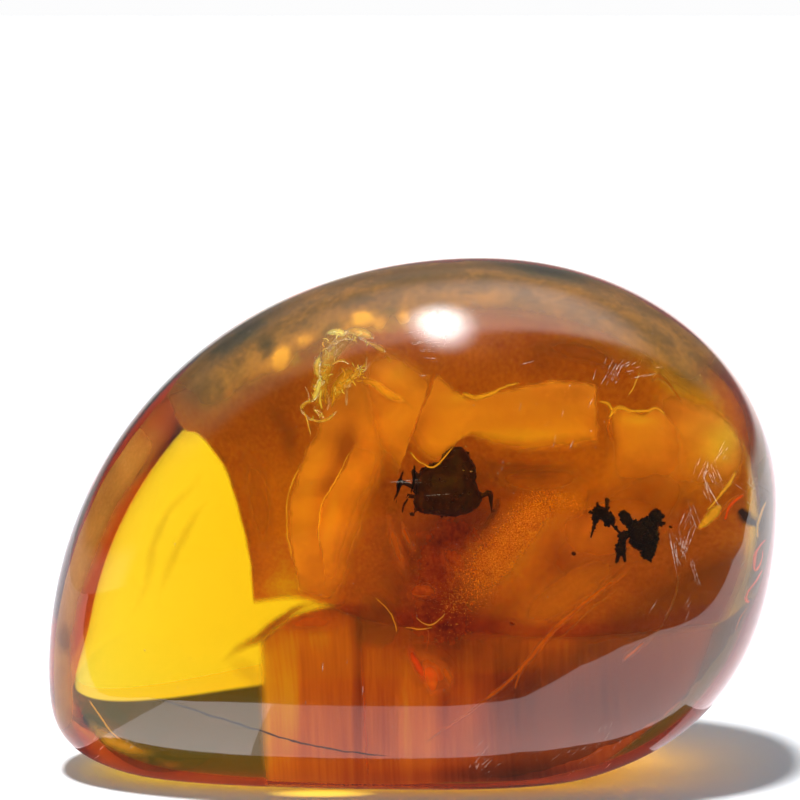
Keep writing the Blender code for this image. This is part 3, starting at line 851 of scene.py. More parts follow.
# %% Curtain, fold and flap
CURTAIN = hang(
    FRONT_Y,
    [(340, 346), (326, 392), (312, 432), (296, 470), (287, 500), (286, 532), (292, 566),
     (300, 604)],
    [(362, 338), (350, 395), (340, 440), (322, 482), (313, 515), (310, 545), (314, 580),
     (320, 614)],
    [(398, 336), (388, 400), (376, 450), (362, 496), (350, 535), (342, 565), (336, 592),
     (331, 618)],
    [(437, 368), (420, 410), (404, 447), (388, 484), (378, 515), (366, 545), (354, 580),
     (338, 620)])
# the spots paint shade between the folds and down the right side, and light along the folds
CURTAIN_SPOTS = [
    (348, 440, 16, 26, 0, 0.42), (332, 478, 12, 34, -24, 0.40), (395, 380, 40, 28, 0, -0.25),
    (308, 500, 8, 60, -10, -0.15), (330, 600, 26, 22, 0, 0.20), (310, 570, 10, 30, 0, 0.12),
    (385, 500, 10, 60, -20, 0.2),
]
curtain = make_veil("veil_curtain", CURTAIN, honey, fades=(0.35, 0.15, 0.10, 0.40), along=90,
                    across=60, ripple=0.35, seed=1.7, wander=3.0, spots=CURTAIN_SPOTS)
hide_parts("film_front")

FOLD = hang(
    -5.4,
    [(368, 420), (352, 448), (337, 476), (322, 504), (318, 532), (322, 562), (327, 602)],
    [(384, 420), (372, 450), (356, 480), (340, 508), (332, 535), (332, 565), (331, 606)],
    [(408, 418), (398, 450), (384, 482), (370, 512), (356, 540), (346, 570), (336, 608)])
make_veil("veil_fold", FOLD, honey, fades=(0.35, 0.3, 0.06, 0.7), along=80, across=30,
          ripple=0.3, seed=2.9, wander=2.0, base=0.45,
          spots=[(330, 520, 8, 60, -12, -0.2), (375, 500, 12, 50, -20, 0.2)])

FLAP = hang(
    -5.15,
    [(352, 340), (352, 372), (362, 412), (376, 452)],
    [(392, 338), (392, 376), (386, 420), (386, 470)],
    [(437, 366), (424, 404), (409, 445), (394, 486)])
make_veil("veil_flap", FLAP, honey, fades=(0.35, 0.35, 0.45, 0.02), along=70, across=40,
          ripple=0.25, seed=3.3, wander=1.4, base=0.45,
          spots=[(400, 372, 20, 12, 30, -0.2), (400, 450, 14, 26, -20, 0.15)])

print("curtain:", len(curtain.data.polygons), "faces")

# %% [markdown]
# To the right the flow goes on as a wide band, a small scalloped sheet and a broad veil that
# fades out above the insect.

# %% Band, scallop and right veil
WIDE = hang(
    -5.3,
    [(437, 371), (452, 383), (472, 396), (500, 388), (530, 382), (562, 377), (598, 382)],
    [(421, 408), (440, 414), (468, 420), (500, 421), (532, 419), (565, 417), (599, 415)],
    [(405, 447), (431, 469), (462, 440), (490, 452), (524, 459), (562, 456), (602, 450)])
WIDE_SPOTS = [
    (418, 430, 12, 34, -25, 0.30), (452, 410, 26, 30, 0, -0.05), (560, 392, 40, 10, 0, 0.25),
    (520, 436, 70, 12, 0, -0.35), (470, 395, 20, 6, 10, -0.35), (596, 430, 10, 22, 0, 0.25),
    (432, 455, 18, 14, 0, -0.1),
]
make_veil("veil_wide", WIDE, honey, fades=(0.02, 0.03, 0.10, 0.34), along=110, across=40,
          ripple=0.25, seed=7.9, wander=1.6, spots=WIDE_SPOTS)

SCALLOP = hang(
    -5.1,
    [(602, 402), (611, 412), (616, 405), (634, 412), (646, 411), (656, 407), (670, 419),
     (690, 440)],
    [(598, 450), (610, 452), (622, 452), (638, 455), (650, 455), (662, 455), (678, 460),
     (696, 470)],
    [(580, 520), (600, 522), (620, 522), (640, 520), (660, 518), (675, 515), (690, 512),
     (706, 508)])
SCALLOP_SPOTS = [
    (608, 440, 12, 18, 0, 0.35), (636, 420, 26, 7, 0, -0.35), (650, 480, 50, 30, 0, 0.25),
    (640, 520, 60, 26, 0, 0.5),
]
make_veil("veil_scallop", SCALLOP, honey, fades=(0.30, 0.40, 0.04, 0.80), along=80, across=40,
          ripple=0.25, seed=2.4, wander=2.0, spots=SCALLOP_SPOTS)

RIGHT_VEIL = hang(
    -4.8,
    [(640, 392), (653, 384), (668, 380), (690, 391), (715, 402), (736, 424), (744, 450)],
    [(640, 440), (660, 438), (680, 440), (700, 445), (720, 452), (736, 460), (744, 472)],
    [(610, 530), (635, 532), (662, 532), (690, 526), (712, 516), (726, 504), (736, 492)])
RIGHT_SPOTS = [
    (725, 440, 20, 30, -30, -0.5), (660, 392, 20, 8, 20, -0.2), (690, 500, 40, 26, 0, 0.15),
    (675, 415, 14, 14, 0, 0.2),
]
make_veil("veil_right", RIGHT_VEIL, honey, fades=(0.40, 0.16, 0.16, 0.80), along=80, across=40,
          ripple=0.25, seed=9.4, wander=3.5, spots=RIGHT_SPOTS)

print("bands: spots", len(WIDE_SPOTS) + len(SCALLOP_SPOTS) + len(RIGHT_SPOTS))

# %% [markdown]
# The rest lies in shade: a slanting veil and the rusty heart at the back, a brown haze under
# the insect, partly painted shade, and a small cracked disc. Their covers fade over nearly half
# their width.

# %% Deep and dark veils
DIAGONAL = hang(
    2.2,
    [(500, 560), (540, 520), (600, 470), (660, 430), (700, 420)],
    [(520, 620), (570, 570), (630, 520), (690, 470), (730, 450)],
    [(540, 650), (600, 600), (660, 560), (715, 520), (745, 490)])
make_veil("veil_diagonal", DIAGONAL, umber, fades=(0.4, 0.4, 0.5, 0.5), seed=4.4,
          wander=4.0, spots=[(545, 540, 40, 20, 40, -0.3), (640, 590, 60, 24, 40, 0.3)])

UNDERSHADE = hang(
    -4.6,
    [(470, 700), (520, 660), (580, 620), (640, 570), (700, 540), (757, 530)],
    [(440, 740), (520, 720), (600, 690), (660, 650), (710, 610), (755, 570)],
    [(430, 778), (520, 775), (600, 750), (670, 710), (715, 660), (748, 610)])
make_veil("veil_undershade", UNDERSHADE, shade, fades=(0.3, 0.05, 0.3, 0.0), seed=1.1,
          wander=3.0)

CENTRE = hang(
    2.4,
    [(380, 500), (370, 560), (360, 620), (365, 690)],
    [(430, 470), (430, 550), (430, 620), (430, 700)],
    [(500, 440), (500, 520), (500, 600), (500, 700)],
    [(560, 440), (550, 500), (540, 580), (540, 690)])
make_veil("veil_centre", CENTRE, rust, fades=(0.35, 0.35, 0.45, 0.55), along=90, across=60,
          seed=6.6, wander=6.0, base=0.45,
          spots=[(475, 520, 30, 14, 30, 0.3), (450, 545, 30, 20, 0, -0.15),
                 (420, 600, 40, 60, 0, -0.15)])

DISC = hang(
    -5.2,
    [(350, 604), (364, 590), (382, 590), (394, 606), (400, 630)],
    [(344, 628), (358, 625), (372, 625), (384, 628), (397, 636)],
    [(345, 646), (358, 650), (372, 651), (384, 649), (395, 642)])
make_veil("veil_disc", DISC, shade, fades=(0.6, 0.06, 0.25, 0.2), seed=5.5, wander=0.8,
          base=0.25)

# %% [markdown]
# Just under the polish lies a thin haze, olive with two green-black patches along the top, and
# tawny down the left side. It takes the glare out of the rims, and its olive and green-black are
# painted reflection of the dark surroundings that the rims mirror.


# %% Rim haze
RIM_SHARE = 0.1
RIM_TOP = hang(
    RIM_SHARE,
    [(140, 427), (200, 356), (260, 312), (330, 281), (420, 264), (520, 263), (600, 281),
     (660, 312), (712, 352), (745, 392)],
    [(160, 440), (218, 374), (275, 332), (341, 302), (425, 286), (515, 286), (590, 302),
     (646, 330), (697, 367), (732, 404)],
    [(190, 466), (254, 414), (312, 384), (364, 356), (432, 340), (506, 338), (572, 352),
     (624, 374), (666, 404), (702, 432)])
# the green-black spots are painted reflection of dark surroundings
RIM_TOP_SPOTS = [
    (238, 336, 40, 9, 36, 0.45), (266, 344, 8, 10, 0, 0.3), (545, 270, 56, 7, -10, 0.4),
    (410, 276, 50, 6, 8, 0.15), (735, 388, 26, 14, -40, 0.3), (190, 395, 30, 14, 45, 0.15),
    (281, 358, 8, 13, -14, -0.8), (262, 366, 14, 10, 30, -0.2), (304, 340, 13, 8, 20, -0.38),
    (330, 318, 20, 8, 20, -0.12), (362, 319, 9, 7, 0, -0.95), (380, 327, 7, 11, 0, -0.5),
    (404, 320, 6, 10, 0, -0.6), (424, 322, 8, 10, 0, -0.3), (346, 332, 10, 6, 20, -0.3),
    (352, 300, 30, 7, 14, 0.1), (480, 300, 40, 8, 0, -0.1), (640, 345, 40, 10, -24, -0.1),
]
make_veil("rim_haze_and_reflection_top", RIM_TOP, olive, fades=(0.12, 0.10, 0.0, 0.60), along=160, across=40,
          place=seen_at, seed=12.0, wander=1.0, base=0.46, spots=RIM_TOP_SPOTS)
RIM_LEFT = hang(
    RIM_SHARE,
    [(168, 392), (140, 427), (104, 480), (76, 545), (61, 600), (54, 660), (58, 730), (72, 762)],
    [(178, 408), (152, 440), (116, 492), (86, 552), (70, 605), (64, 660), (69, 722), (84, 752)],
    [(190, 424), (170, 452), (130, 508), (102, 564), (84, 610), (79, 660), (84, 712), (98, 738)])
make_veil("rim_haze_left", RIM_LEFT, tawny, fades=(0.2, 0.15, 0.0, 0.6), along=90,
          place=seen_at, seed=13.0, base=0.55,
          spots=[(64, 640, 8, 16, 0, 0.5), (110, 500, 20, 30, -30, 0.2)])
RIM_RIGHT = hang(
    RIM_SHARE,
    [(750, 404), (766, 450), (773, 500), (769, 550), (755, 600), (736, 640)],
    [(744, 416), (758, 455), (764, 500), (760, 548), (747, 595), (728, 632)],
    [(730, 436), (745, 470), (749, 505), (746, 545), (734, 588), (717, 622)])
make_veil("rim_haze_and_reflection_right", RIM_RIGHT, olive, fades=(0.3, 0.25, 0.0, 0.6), along=80,
          place=seen_at, seed=14.0, base=0.62, spots=[(752, 520, 12, 16, 0, 0.3)])
print("haze at", RIM_SHARE, "of the way in")

# %% [markdown]
# ## Cracks, folds and flames
# Where resin tore while it set, a crack or a fold stands on edge to the eye and catches light
# as a line. These are narrow ribbons of the same film, brighter than the veils round them: the
# light they catch is painted into their colour.

# %% Cracks and folds
RIBBONS = {              # depth y in mm, material, path of (column, row, width)
    "fracture_main": (-5.1, ember, [
        (632, 568, 7), (590, 598, 6), (556, 628, 8), (530, 658, 9), (510, 680, 6), (470, 712, 4),
        (420, 745, 3)]),
    "fracture_branch": (-5.1, ember, [(524, 664, 4), (519, 674, 7), (514, 690, 3)]),
    "fracture_echo": (-5.0, faint, [(618, 588, 4), (582, 618, 4), (556, 644, 3)]),
    "curtain_fold": (-5.6, gold, [
        (352, 448, 2), (337, 478, 2.5), (322, 504, 2.5), (318, 530, 2.5), (321, 552, 1.5)]),
    "curtain_side": (-5.2, gold, [
        (300, 462, 2), (293, 480, 2.5), (287, 502, 2), (287, 530, 2.5), (293, 562, 2)]),
    "hem": (-5.9, gold, [
        (408, 450, 2), (420, 462, 2.5), (433, 467, 3), (446, 456, 2.5), (456, 444, 2)]),
    "crease": (-5.9, ember, [(437, 373, 2), (428, 394, 3), (416, 422, 2.5), (407, 445, 2)]),
    "wide_fold": (-5.6, gold, [
        (460, 392, 4), (474, 397, 7), (488, 395, 7), (502, 388, 4), (522, 382, 3)]),
    "wide_step": (-5.2, gold, [(598, 402, 2), (608, 404, 5), (613, 413, 3)]),
    "scallop_edge": (-5.4, gold, [
        (607, 420, 2), (613, 412, 5), (620, 407, 6), (634, 411, 4), (646, 411, 4), (657, 408, 4),
        (668, 416, 2)]),
    "scallop_side": (-5.4, ember, [(612, 415, 3), (608, 428, 6), (612, 440, 3)]),
    "brow_frill": (-5.3, ember, [
        (650, 382, 3), (658, 376, 7), (668, 382, 6), (676, 394, 4), (682, 404, 2)]),
    "right_hook": (-5.3, gold, [(640, 372, 2), (633, 388, 2.5), (627, 397, 1.5)]),
    "lobe_edge": (-5.2, faint, [(680, 572, 2), (674, 600, 3), (662, 625, 3), (645, 645, 4)]),
    "lobe_tip": (-5.3, ember, [(622, 662, 3), (628, 655, 8), (638, 647, 7), (646, 641, 3)]),
    "tear_left": (-5.2, gold, [
        (414, 616, 1.2), (423, 623, 2), (431, 625, 3), (440, 619, 2), (446, 611, 1.2)]),
    "tear_line": (-5.2, gold, [(404, 627, 1.2), (418, 629, 1.6), (434, 628, 1.2)]),
    "drip_line": (-5.2, ember, [(427, 627, 1.6), (429, 640, 2.4), (426, 654, 1.6)]),
    "disc_arc": (-5.4, gold, [(374, 598, 1.2), (386, 607, 1.8), (394, 620, 1.8), (397, 634, 1.4)]),
    "rim_squiggle_a": (-6.4, gold, [(767, 500, 2), (761, 514, 5), (758, 526, 5), (757, 540, 2)]),
    "rim_squiggle_b": (-6.4, flame, [
        (768, 536, 2), (760, 547, 4), (755, 557, 6), (756, 570, 5), (761, 562, 3), (764, 546, 2)]),
    "rim_squiggle_c": (-6.4, flame, [
        (764, 567, 2), (757, 580, 4), (748, 593, 5), (747, 601, 6), (752, 599, 2)]),
    "rim_squiggle_d": (-6.4, ember, [(748, 606, 2), (741, 618, 3), (735, 632, 2)]),
    "right_dark": (-6.0, soot, [(739, 508, 8), (746, 517, 20), (755, 522, 14), (760, 528, 4)]),
    "right_frill": (-5.2, flame, [(745, 494, 4), (736, 500, 6), (729, 508, 6), (724, 522, 4)]),
    "right_patch": (-5.1, gold, [(722, 504, 6), (714, 513, 16), (705, 522, 12), (698, 530, 4)]),
    "right_rib_a": (-5.1, ember, [(744, 494, 2), (731, 500, 5), (722, 512, 5), (714, 522, 2)]),
    "right_rib_b": (-5.1, gold, [(736, 470, 3), (728, 486, 6), (716, 500, 4), (706, 512, 2)]),
    "column_edge": (2.4, ember, [(360, 640, 2), (363, 690, 4), (366, 740, 4), (368, 780, 3)]),
    "streak_a": (-5.4, soot, [(403, 470, 2), (399, 485, 4), (395, 502, 2)]),
    "streak_b": (-5.4, soot, [(414, 464, 3), (414, 480, 4), (411, 495, 2)]),
    "streak_c": (-5.4, soot, [(408, 498, 2), (404, 505, 3), (402, 513, 2)]),
    "smudge": (-5.0, shade, [(500, 496, 3), (496, 508, 10), (488, 522, 10), (480, 530, 4)]),
    "dot_a": (-5.2, soot, [(571, 553, 3), (573, 554, 5), (576, 555, 3)]),
    "dot_b": (-5.2, soot, [(668, 526, 3), (670, 527, 4), (672, 528, 3)]),
    "dot_c": (-5.2, rust, [(509, 622, 3), (512, 623, 6), (515, 624, 3)]),
    "keel_line": (-3.0, gold, [(88, 698, 1.5), (97, 712, 3), (108, 728, 3), (124, 742, 2)]),
    "keel_shade": (-3.0, soot, [
        (150, 697, 1.5), (200, 712, 2.5), (258, 730, 3), (320, 747, 2.5), (400, 758, 2)]),
    "sun_spot": (-4.0, faint, [(562, 303, 14), (575, 303, 30), (588, 303, 14)]),
}
for number, (name, (depth, mat, path)) in enumerate(RIBBONS.items()):
    make_ribbon(name, path, depth, mat, seed=number * 1.3)
print(len(RIBBONS), "cracks and folds")

# %% [markdown]
# Between the veils hang fainter wisps: the same ribbons, wider, with cover that fades over
# nearly their whole width, so that they tint the resin and have no edge of their own. Two of
# them, wisp_shadow and dome_shadow, are painted shadows. The small flames are splits whose
# red light is painted into their colour, and the pocket's films are its gas skin, its glint
# painted in bright gold.

# %% Wisps
WISPS = {                # depth y in mm, material, base thickness, path
    "wisp_top_b": (-2.0, umber, 0.6, [
        (520, 345, 14), (570, 350, 30), (610, 362, 26), (640, 378, 14)]),
    "wisp_under": (-3.6, umber, 0.55, [
        (470, 470, 16), (520, 480, 40), (570, 478, 40), (610, 470, 20)]),
    "wisp_shadow": (-4.4, shade, 0.2, [
        (465, 448, 10), (500, 468, 20), (550, 470, 22), (595, 462, 12)]),
    "wisp_glow": (-3.4, honey, 0.75, [
        (540, 500, 40), (580, 530, 90), (630, 520, 90), (690, 500, 50)]),
    "wisp_low": (-3.2, umber, 0.35, [
        (490, 640, 40), (540, 610, 60), (600, 570, 60), (650, 545, 30)]),
    "wisp_fan_a": (-4.2, ember, 0.6, [
        (386, 500, 6), (392, 530, 14), (400, 560, 16), (412, 590, 6)]),
    "wisp_fan_b": (-4.2, ember, 0.7, [(398, 512, 4), (408, 540, 10), (414, 560, 6)]),
    "wisp_heart_a": (-3.0, rust, 0.3, [(430, 545, 20), (455, 560, 40), (470, 590, 30)]),
    "wisp_heart_b": (-3.4, rust, 0.15, [(400, 600, 14), (420, 590, 26), (446, 600, 20)]),
    "wisp_left_a": (-2.0, umber, 0.5, [
        (232, 436, 16), (252, 470, 34), (262, 520, 34), (264, 570, 16)]),
    "wisp_left_b": (-2.6, shade, 0.2, [(262, 400, 14), (286, 430, 30), (292, 470, 16)]),
    "wisp_brow": (-3.0, tawny, 0.2, [
        (640, 362, 10), (670, 374, 28), (700, 390, 32), (726, 412, 12)]),
    "wisp_dome": (2.2, ember, 0.6, [
        (262, 622, 10), (290, 624, 24), (330, 622, 34), (360, 626, 20)]),
    "wisp_flame": (-4.9, ember, 0.4, [
        (402, 650, 14), (424, 664, 44), (440, 680, 40), (440, 704, 12)]),
    "flame_core": (-5.2, flame, 0.2, [
        (424, 658, 8), (430, 672, 22), (432, 686, 20), (428, 699, 6)]),
    "flame_left": (-5.1, flame, 0.6, [
        (407, 640, 6), (413, 656, 13), (421, 673, 14), (427, 688, 6)]),
    "flame_right": (-5.1, ember, 0.4, [
        (434, 658, 8), (445, 670, 15), (450, 684, 12), (446, 696, 4)]),
    "zone_wave": (-5.2, faint, 0.6, [
        (210, 462, 6), (192, 486, 12), (170, 510, 12), (154, 545, 15), (146, 585, 15), (128, 622, 6)]),
    "zone_ghost": (-5.2, faint, 0.9, [
        (214, 490, 8), (190, 525, 14), (168, 570, 14), (158, 606, 8)]),
    "dome_arc": (2.6, umber, 0.7, [
        (216, 668, 6), (236, 650, 14), (258, 638, 18), (280, 620, 15), (304, 606, 13), (340, 598, 6)]),
    "dome_shadow": (2.6, faint, 0.9, [
        (218, 660, 10), (236, 664, 30), (252, 676, 30), (262, 700, 10)]),
    "pocket_film": (-5.5, gilt, 0.6, [
        (374, 344, 8), (352, 340, 22), (334, 348, 30), (324, 372, 24), (318, 400, 26), (316, 420, 8)]),
    "pocket_side": (-5.5, gilt, 0.7, [
        (362, 364, 6), (348, 376, 24), (336, 392, 20), (326, 410, 6)]),
    "pocket_band": (-5.5, gold, 0.7, [
        (346, 380, 4), (369, 382, 10), (390, 394, 12), (414, 408, 5)]),
    "wisp_keel": (-3.0, gold, 0.7, [
        (84, 712, 8), (96, 730, 18), (116, 743, 20), (138, 751, 18), (162, 755, 8)]),
}
for number, (name, (depth, mat, base, path)) in enumerate(WISPS.items()):
    make_ribbon(name, path, depth, mat, seed=70 + number * 1.9, ends=(0.45, 0.45), side=0.5,
                base=base)
FOG_DEPTH = -4.9         # y in mm
FOG = [(600, 496, 30), (560, 500, 50), (528, 520, 66), (503, 550, 80), (478, 580, 90),
       (450, 622, 80)]
make_ribbon("crackle_fog", FOG, FOG_DEPTH, granular, seed=8.1, ends=(0.4, 0.4), side=0.5)
print(len(WISPS) + 1, "wisps")

# %% [markdown]
# The gas pocket is crumpled like foil, and its creases catch the light as gold threads, painted
# here as bright gold film. The main ones are drawn where they lie. The fine ones are short
# strokes scattered about the same lines as the pocket's tubes, all in one mesh.

# %% Gold creases
GILT_DEPTH = -6.6        # y in mm: just before the gas pocket
GILT = [                 # streaks of (column, row, width)
    [(325, 334, 2), (334, 332, 5), (345, 334, 6), (347, 335, 3)],
    [(345, 333, 3), (352, 331, 6), (362, 333, 8), (372, 337, 5), (376, 339, 2)],
    [(366, 342, 2), (374, 345, 4), (381, 349, 5), (387, 353, 2)],
    [(385, 355, 1), (389, 359, 3), (392, 363, 1)],
    [(321, 354, 2), (317, 364, 5), (317, 372, 5), (320, 379, 2)],
    [(321, 377, 2), (318, 388, 4), (315, 396, 4), (312, 402, 2)],
    [(314, 400, 1.5), (306, 403, 3), (302, 407, 3), (303, 412, 1.5)],
    [(308, 420, 1), (320, 421, 2.4), (330, 418, 2.4), (336, 410, 1)],
    [(303, 408, 1), (308, 424, 1.6), (311, 438, 1)],
    [(359, 366, 2), (356, 374, 5), (350, 380, 4), (346, 386, 3), (343, 388, 1)],
    [(349, 364, 1), (342, 360, 2.5), (334, 363, 2), (330, 368, 1)],
    [(327, 384, 1), (325, 396, 3), (327, 408, 1)],
    [(333, 380, 1), (334, 395, 3), (331, 410, 1)],
    [(341, 366, 1), (345, 374, 2), (341, 380, 1)],
    [(322, 386, 1), (320, 400, 2.4), (323, 412, 1)],
]
FINE_STRAY = 0.24        # share of the line's width
FINE_REACH = (1.6, 4.5)  # half length in picture pixels
FINE_END, FINE_WIDTHS = 0.6, (0.7, 1.5)  # widths in picture pixels
random = np.random.default_rng(6)
for line_of_places, count in ((CRUMPLE, 80), (CRUMPLE_SIDE, 40)):
    line = spline(line_of_places, 100)
    for pick in random.integers(2, 98, count):
        place = line[pick, :2] + random.normal(0, FINE_STRAY, 2) * line[pick, 2]
        turn = random.uniform(0, math.tau)
        step = np.array((math.cos(turn), math.sin(turn))) * random.uniform(*FINE_REACH)
        bend = np.array((-step[1], step[0])) * random.normal(0, 0.4)
        GILT.append([(*(place - step), FINE_END),
                     (*(place + bend), random.uniform(*FINE_WIDTHS)),
                     (*(place + step), FINE_END)])
make_strokes("gilt_glint_crumple", GILT, GILT_DEPTH, gilt, seed=9)
print(len(GILT), "gold strokes")

# %% [markdown]
# Beside the dark heart lies a band of crackle: thousands of tiny gas-filled splits, each of
# which glints by itself. They are small flat flakes, turned every way.


# %% Crackle
def scatter_flakes(name, path, mat, count, size_mm, seed):
    """Flakes about a line of (column, row, share, width) rows."""
    random = np.random.default_rng(seed)
    line = spline(path, 200)
    pick = random.integers(0, len(line), count)
    spread = random.normal(0, 0.35, (count, 2)) * line[pick, 3:4]
    share = line[pick, 2] + random.normal(0, 0.02, count)
    places, _ = seen_at(np.column_stack([line[pick, :2] + spread, share]))
    verts, faces = [], []
    for place in places:
        a, b = random.normal(0, 1, 3), random.normal(0, 1, 3)
        a /= np.linalg.norm(a)
        b = np.cross(a, b) / np.linalg.norm(np.cross(a, b))
        size = size_mm * random.uniform(0.4, 1.3)
        base = len(verts)
        verts += [place + a * size, place + b * size * 0.6, place - a * size * 0.8,
                  place - b * size * 0.5]
        faces.append((base, base + 1, base + 2, base + 3))
    obj = add_piece(name, verts, faces, [mat], smooth=False)
    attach(obj, "root")
    print(name, len(faces), "flakes")


CRACKLE = [(582, 505, 0.3, 10), (545, 500, 0.3, 16), (522, 515, 0.3, 20), (508, 540, 0.3, 24),
           (486, 566, 0.3, 30), (464, 592, 0.3, 30), (448, 610, 0.3, 18)]
scatter_flakes("crackle", CRACKLE, flake, count=3600, size_mm=0.042, seed=11)
EMBERS = [(400, 540, 0.34, 30), (420, 580, 0.34, 40), (440, 640, 0.34, 50), (470, 600, 0.34, 40)]
scatter_flakes("embers", EMBERS, flake, count=420, size_mm=0.032, seed=12)

# %% [markdown]
# ## Wear
# A handled stone has hairline scratches in its polish and a little dust on it. Both scatter
# light and look white. Each scratch is a strip a few hundredths of a millimetre wide that lies
# on the surface, and each grain of dust is a tiny flat crumb.

# %% Scratches and dust
SKIN = 0.012             # mm the strips lie above the polish
WORN_PLACES = [          # column, row, spread, count, angle in degrees, length in pixels
    (615, 372, 12, 16, 62, 14), (628, 366, 8, 8, 30, 8), (684, 545, 9, 9, 74, 26),
    (690, 520, 8, 6, 66, 20), (707, 470, 12, 9, 68, 22), (722, 455, 8, 6, 55, 14),
    (751, 482, 8, 9, 60, 14), (760, 500, 5, 5, 75, 12), (585, 745, 24, 16, 35, 14),
    (606, 738, 12, 10, 60, 10), (490, 760, 18, 12, 45, 12), (478, 764, 8, 6, 70, 8),
    (96, 746, 7, 6, 40, 9), (640, 372, 14, 6, 15, 12), (130, 742, 6, 4, 60, 8),
    (736, 560, 8, 5, 50, 12), (560, 420, 60, 8, 70, 12), (420, 484, 26, 3, 0, 30),
    (665, 600, 30, 6, 60, 14), (560, 315, 70, 8, 8, 26), (330, 700, 60, 6, 80, 10),
    # the crossed scratches at 441, 326 are massed round the highlight and also paint its rough sheen
    (441, 326, 22, 60, 8, 8), (441, 326, 20, 60, 82, 7), (425, 345, 22, 16, 4, 14),
    (675, 552, 4, 5, -78, 50), (682, 544, 4, 4, -72, 34), (692, 517, 4, 4, -66, 28),
    (695, 572, 4, 4, -76, 26), (712, 474, 7, 7, -66, 32), (706, 488, 10, 8, -70, 20),
    (754, 488, 7, 9, -48, 24), (756, 500, 6, 6, -55, 18), (470, 306, 14, 14, 30, 7),
]


SCRATCH_STEPS = 8        # places along one scratch
SCRATCH_WIDTHS = (0.008, 0.022)  # mm
DUST_GRAINS = 150
DUST_SIZES = (0.015, 0.045)      # mm
DUST_CORNERS = 6
DUST_COLUMNS, DUST_ROWS = (90, 765), (300, 760)  # where grains may lie
LEFT_HALF = 500          # column: left of it fewer grains show
LEFT_SPARED = 0.4

random = np.random.default_rng(21)
verts, faces = [], []
for col, row, spread, count, angle, length in WORN_PLACES:
    for _ in range(count):
        c, r = random.normal((col, row), spread * 0.5)
        turn = math.radians(angle + random.normal(0, 7))
        reach = length * random.uniform(0.4, 1.2)
        step = np.array((math.cos(turn), -math.sin(turn)))
        bow = random.normal(0, 0.03)
        t = np.linspace(-0.5, 0.5, SCRATCH_STEPS)
        across = np.array((-step[1], step[0]))
        path = np.array([(c, r) + step * k * reach + across * bow * reach * (k * k) for k in t])
        places, found = seen_at(np.column_stack([path, np.zeros(len(path))]))
        if not found.all():
            continue
        normal = outward(places)
        along = np.gradient(places, axis=0)
        side = np.cross(normal, along)
        side /= np.linalg.norm(side, axis=1, keepdims=True)
        width = random.uniform(*SCRATCH_WIDTHS) * (1 - (2 * t) ** 2 * 0.8)[:, None]
        base = len(verts)
        for place, n, s, w in zip(places, normal, side, width):
            verts.append(place + n * SKIN + s * w)
            verts.append(place + n * SKIN - s * w)
        faces += [(base + 2 * k, base + 2 * k + 1, base + 2 * k + 3, base + 2 * k + 2)
                  for k in range(len(t) - 1)]
for _ in range(DUST_GRAINS):
    c = random.uniform(*DUST_COLUMNS)
    r = random.uniform(*DUST_ROWS)
    places, found = seen_at([(c, r, 0.0)])
    if not found[0] or random.uniform() < LEFT_SPARED and c < LEFT_HALF:
        continue
    normal = outward(places)[0]
    a = np.cross(normal, random.normal(0, 1, 3))
    a /= np.linalg.norm(a)
    b = np.cross(normal, a)
    size = random.uniform(*DUST_SIZES)
    base = len(verts)
    for k in range(DUST_CORNERS):
        turn = math.tau * k / DUST_CORNERS
        out_by = size * random.uniform(0.6, 1.2)
        spoke = a * math.cos(turn) + b * math.sin(turn)
        verts.append(places[0] + normal * SKIN + spoke * out_by)
    faces.append(tuple(range(base, base + DUST_CORNERS)))
print(len(faces), "faces of wear")

# %% [markdown]
# Broken polish and dust are both fine powder to the eye: white, matt and see-through in
# between. Noise a quarter of a millimetre wide thins the strips here and there.

# %% Worn polish
worn, tree, out = new_material("worn_polish")
broken, chalk = mottled(tree, 0.25, 2.0, "FFF6E4", "E8D8C0")
cover = add_node(tree, "ShaderNodeMapRange", inputs={
    "Value": broken, "From Min": 0.38, "From Max": 0.62, "To Min": 0.05,
    "To Max": 0.6})
scatter = add_node(tree, "ShaderNodeBsdfPrincipled", inputs={
    "Base Color": chalk, "Roughness": 0.6})
clear = add_node(tree, "ShaderNodeBsdfTransparent")
both = add_node(tree, "ShaderNodeMixShader", inputs={
    0: cover.outputs[0], 1: clear.outputs[0], 2: scatter.outputs[0]})
tree.links.new(both.outputs[0], out.inputs["Surface"])
wear = add_piece("surface_wear", verts, faces, [worn], smooth=False)
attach(wear, "root")

# %% [markdown]
# ## Inclusions
# Chitin, the horny shell of insects, is nearly black in amber and a little glossy. A hollow
# husk of it lets some light through and looks brown. Both are pitted, which noise gives.

# %% Chitin materials
def chitin_material(name, dark, light, rough, pit_mm, gloss):
    """Shell whose colour and relief wander over pits of a given size."""
    mat, tree, out = new_material(name)
    pits, tint = mottled(tree, pit_mm, 4.0, dark, light)
    relief = add_node(tree, "ShaderNodeBump", inputs={
        "Strength": 0.8, "Distance": 0.08 * MM, "Height": pits})
    shell = add_node(tree, "ShaderNodeBsdfPrincipled", inputs={
        "Base Color": tint, "Roughness": rough, "Specular IOR Level": gloss,
        "Normal": relief.outputs[0]})
    tree.links.new(shell.outputs[0], out.inputs["Surface"])
    return mat


black_chitin = chitin_material("black_chitin", "0A0204", "1A0608", rough=0.5, pit_mm=0.2,
                               gloss=0.06)
brown_chitin = chitin_material("brown_chitin", "140604", "3E120A", rough=0.5, pit_mm=0.5,
                               gloss=0.15)
for node, mat in (("insect", black_chitin), ("husk", brown_chitin)):
    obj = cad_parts[node]
    obj.data.materials.clear()
    obj.data.materials.append(mat)
    print(node, "wears", mat.name)

# %% [markdown]
# The insect is shaggy: its outline is broken by bristles and by crumbs of wood dust that stuck
# to it. Each bristle is a thin three-sided spike, each crumb a rough little grain, and both
# stand at random places on the shell, more of them where it has more area.


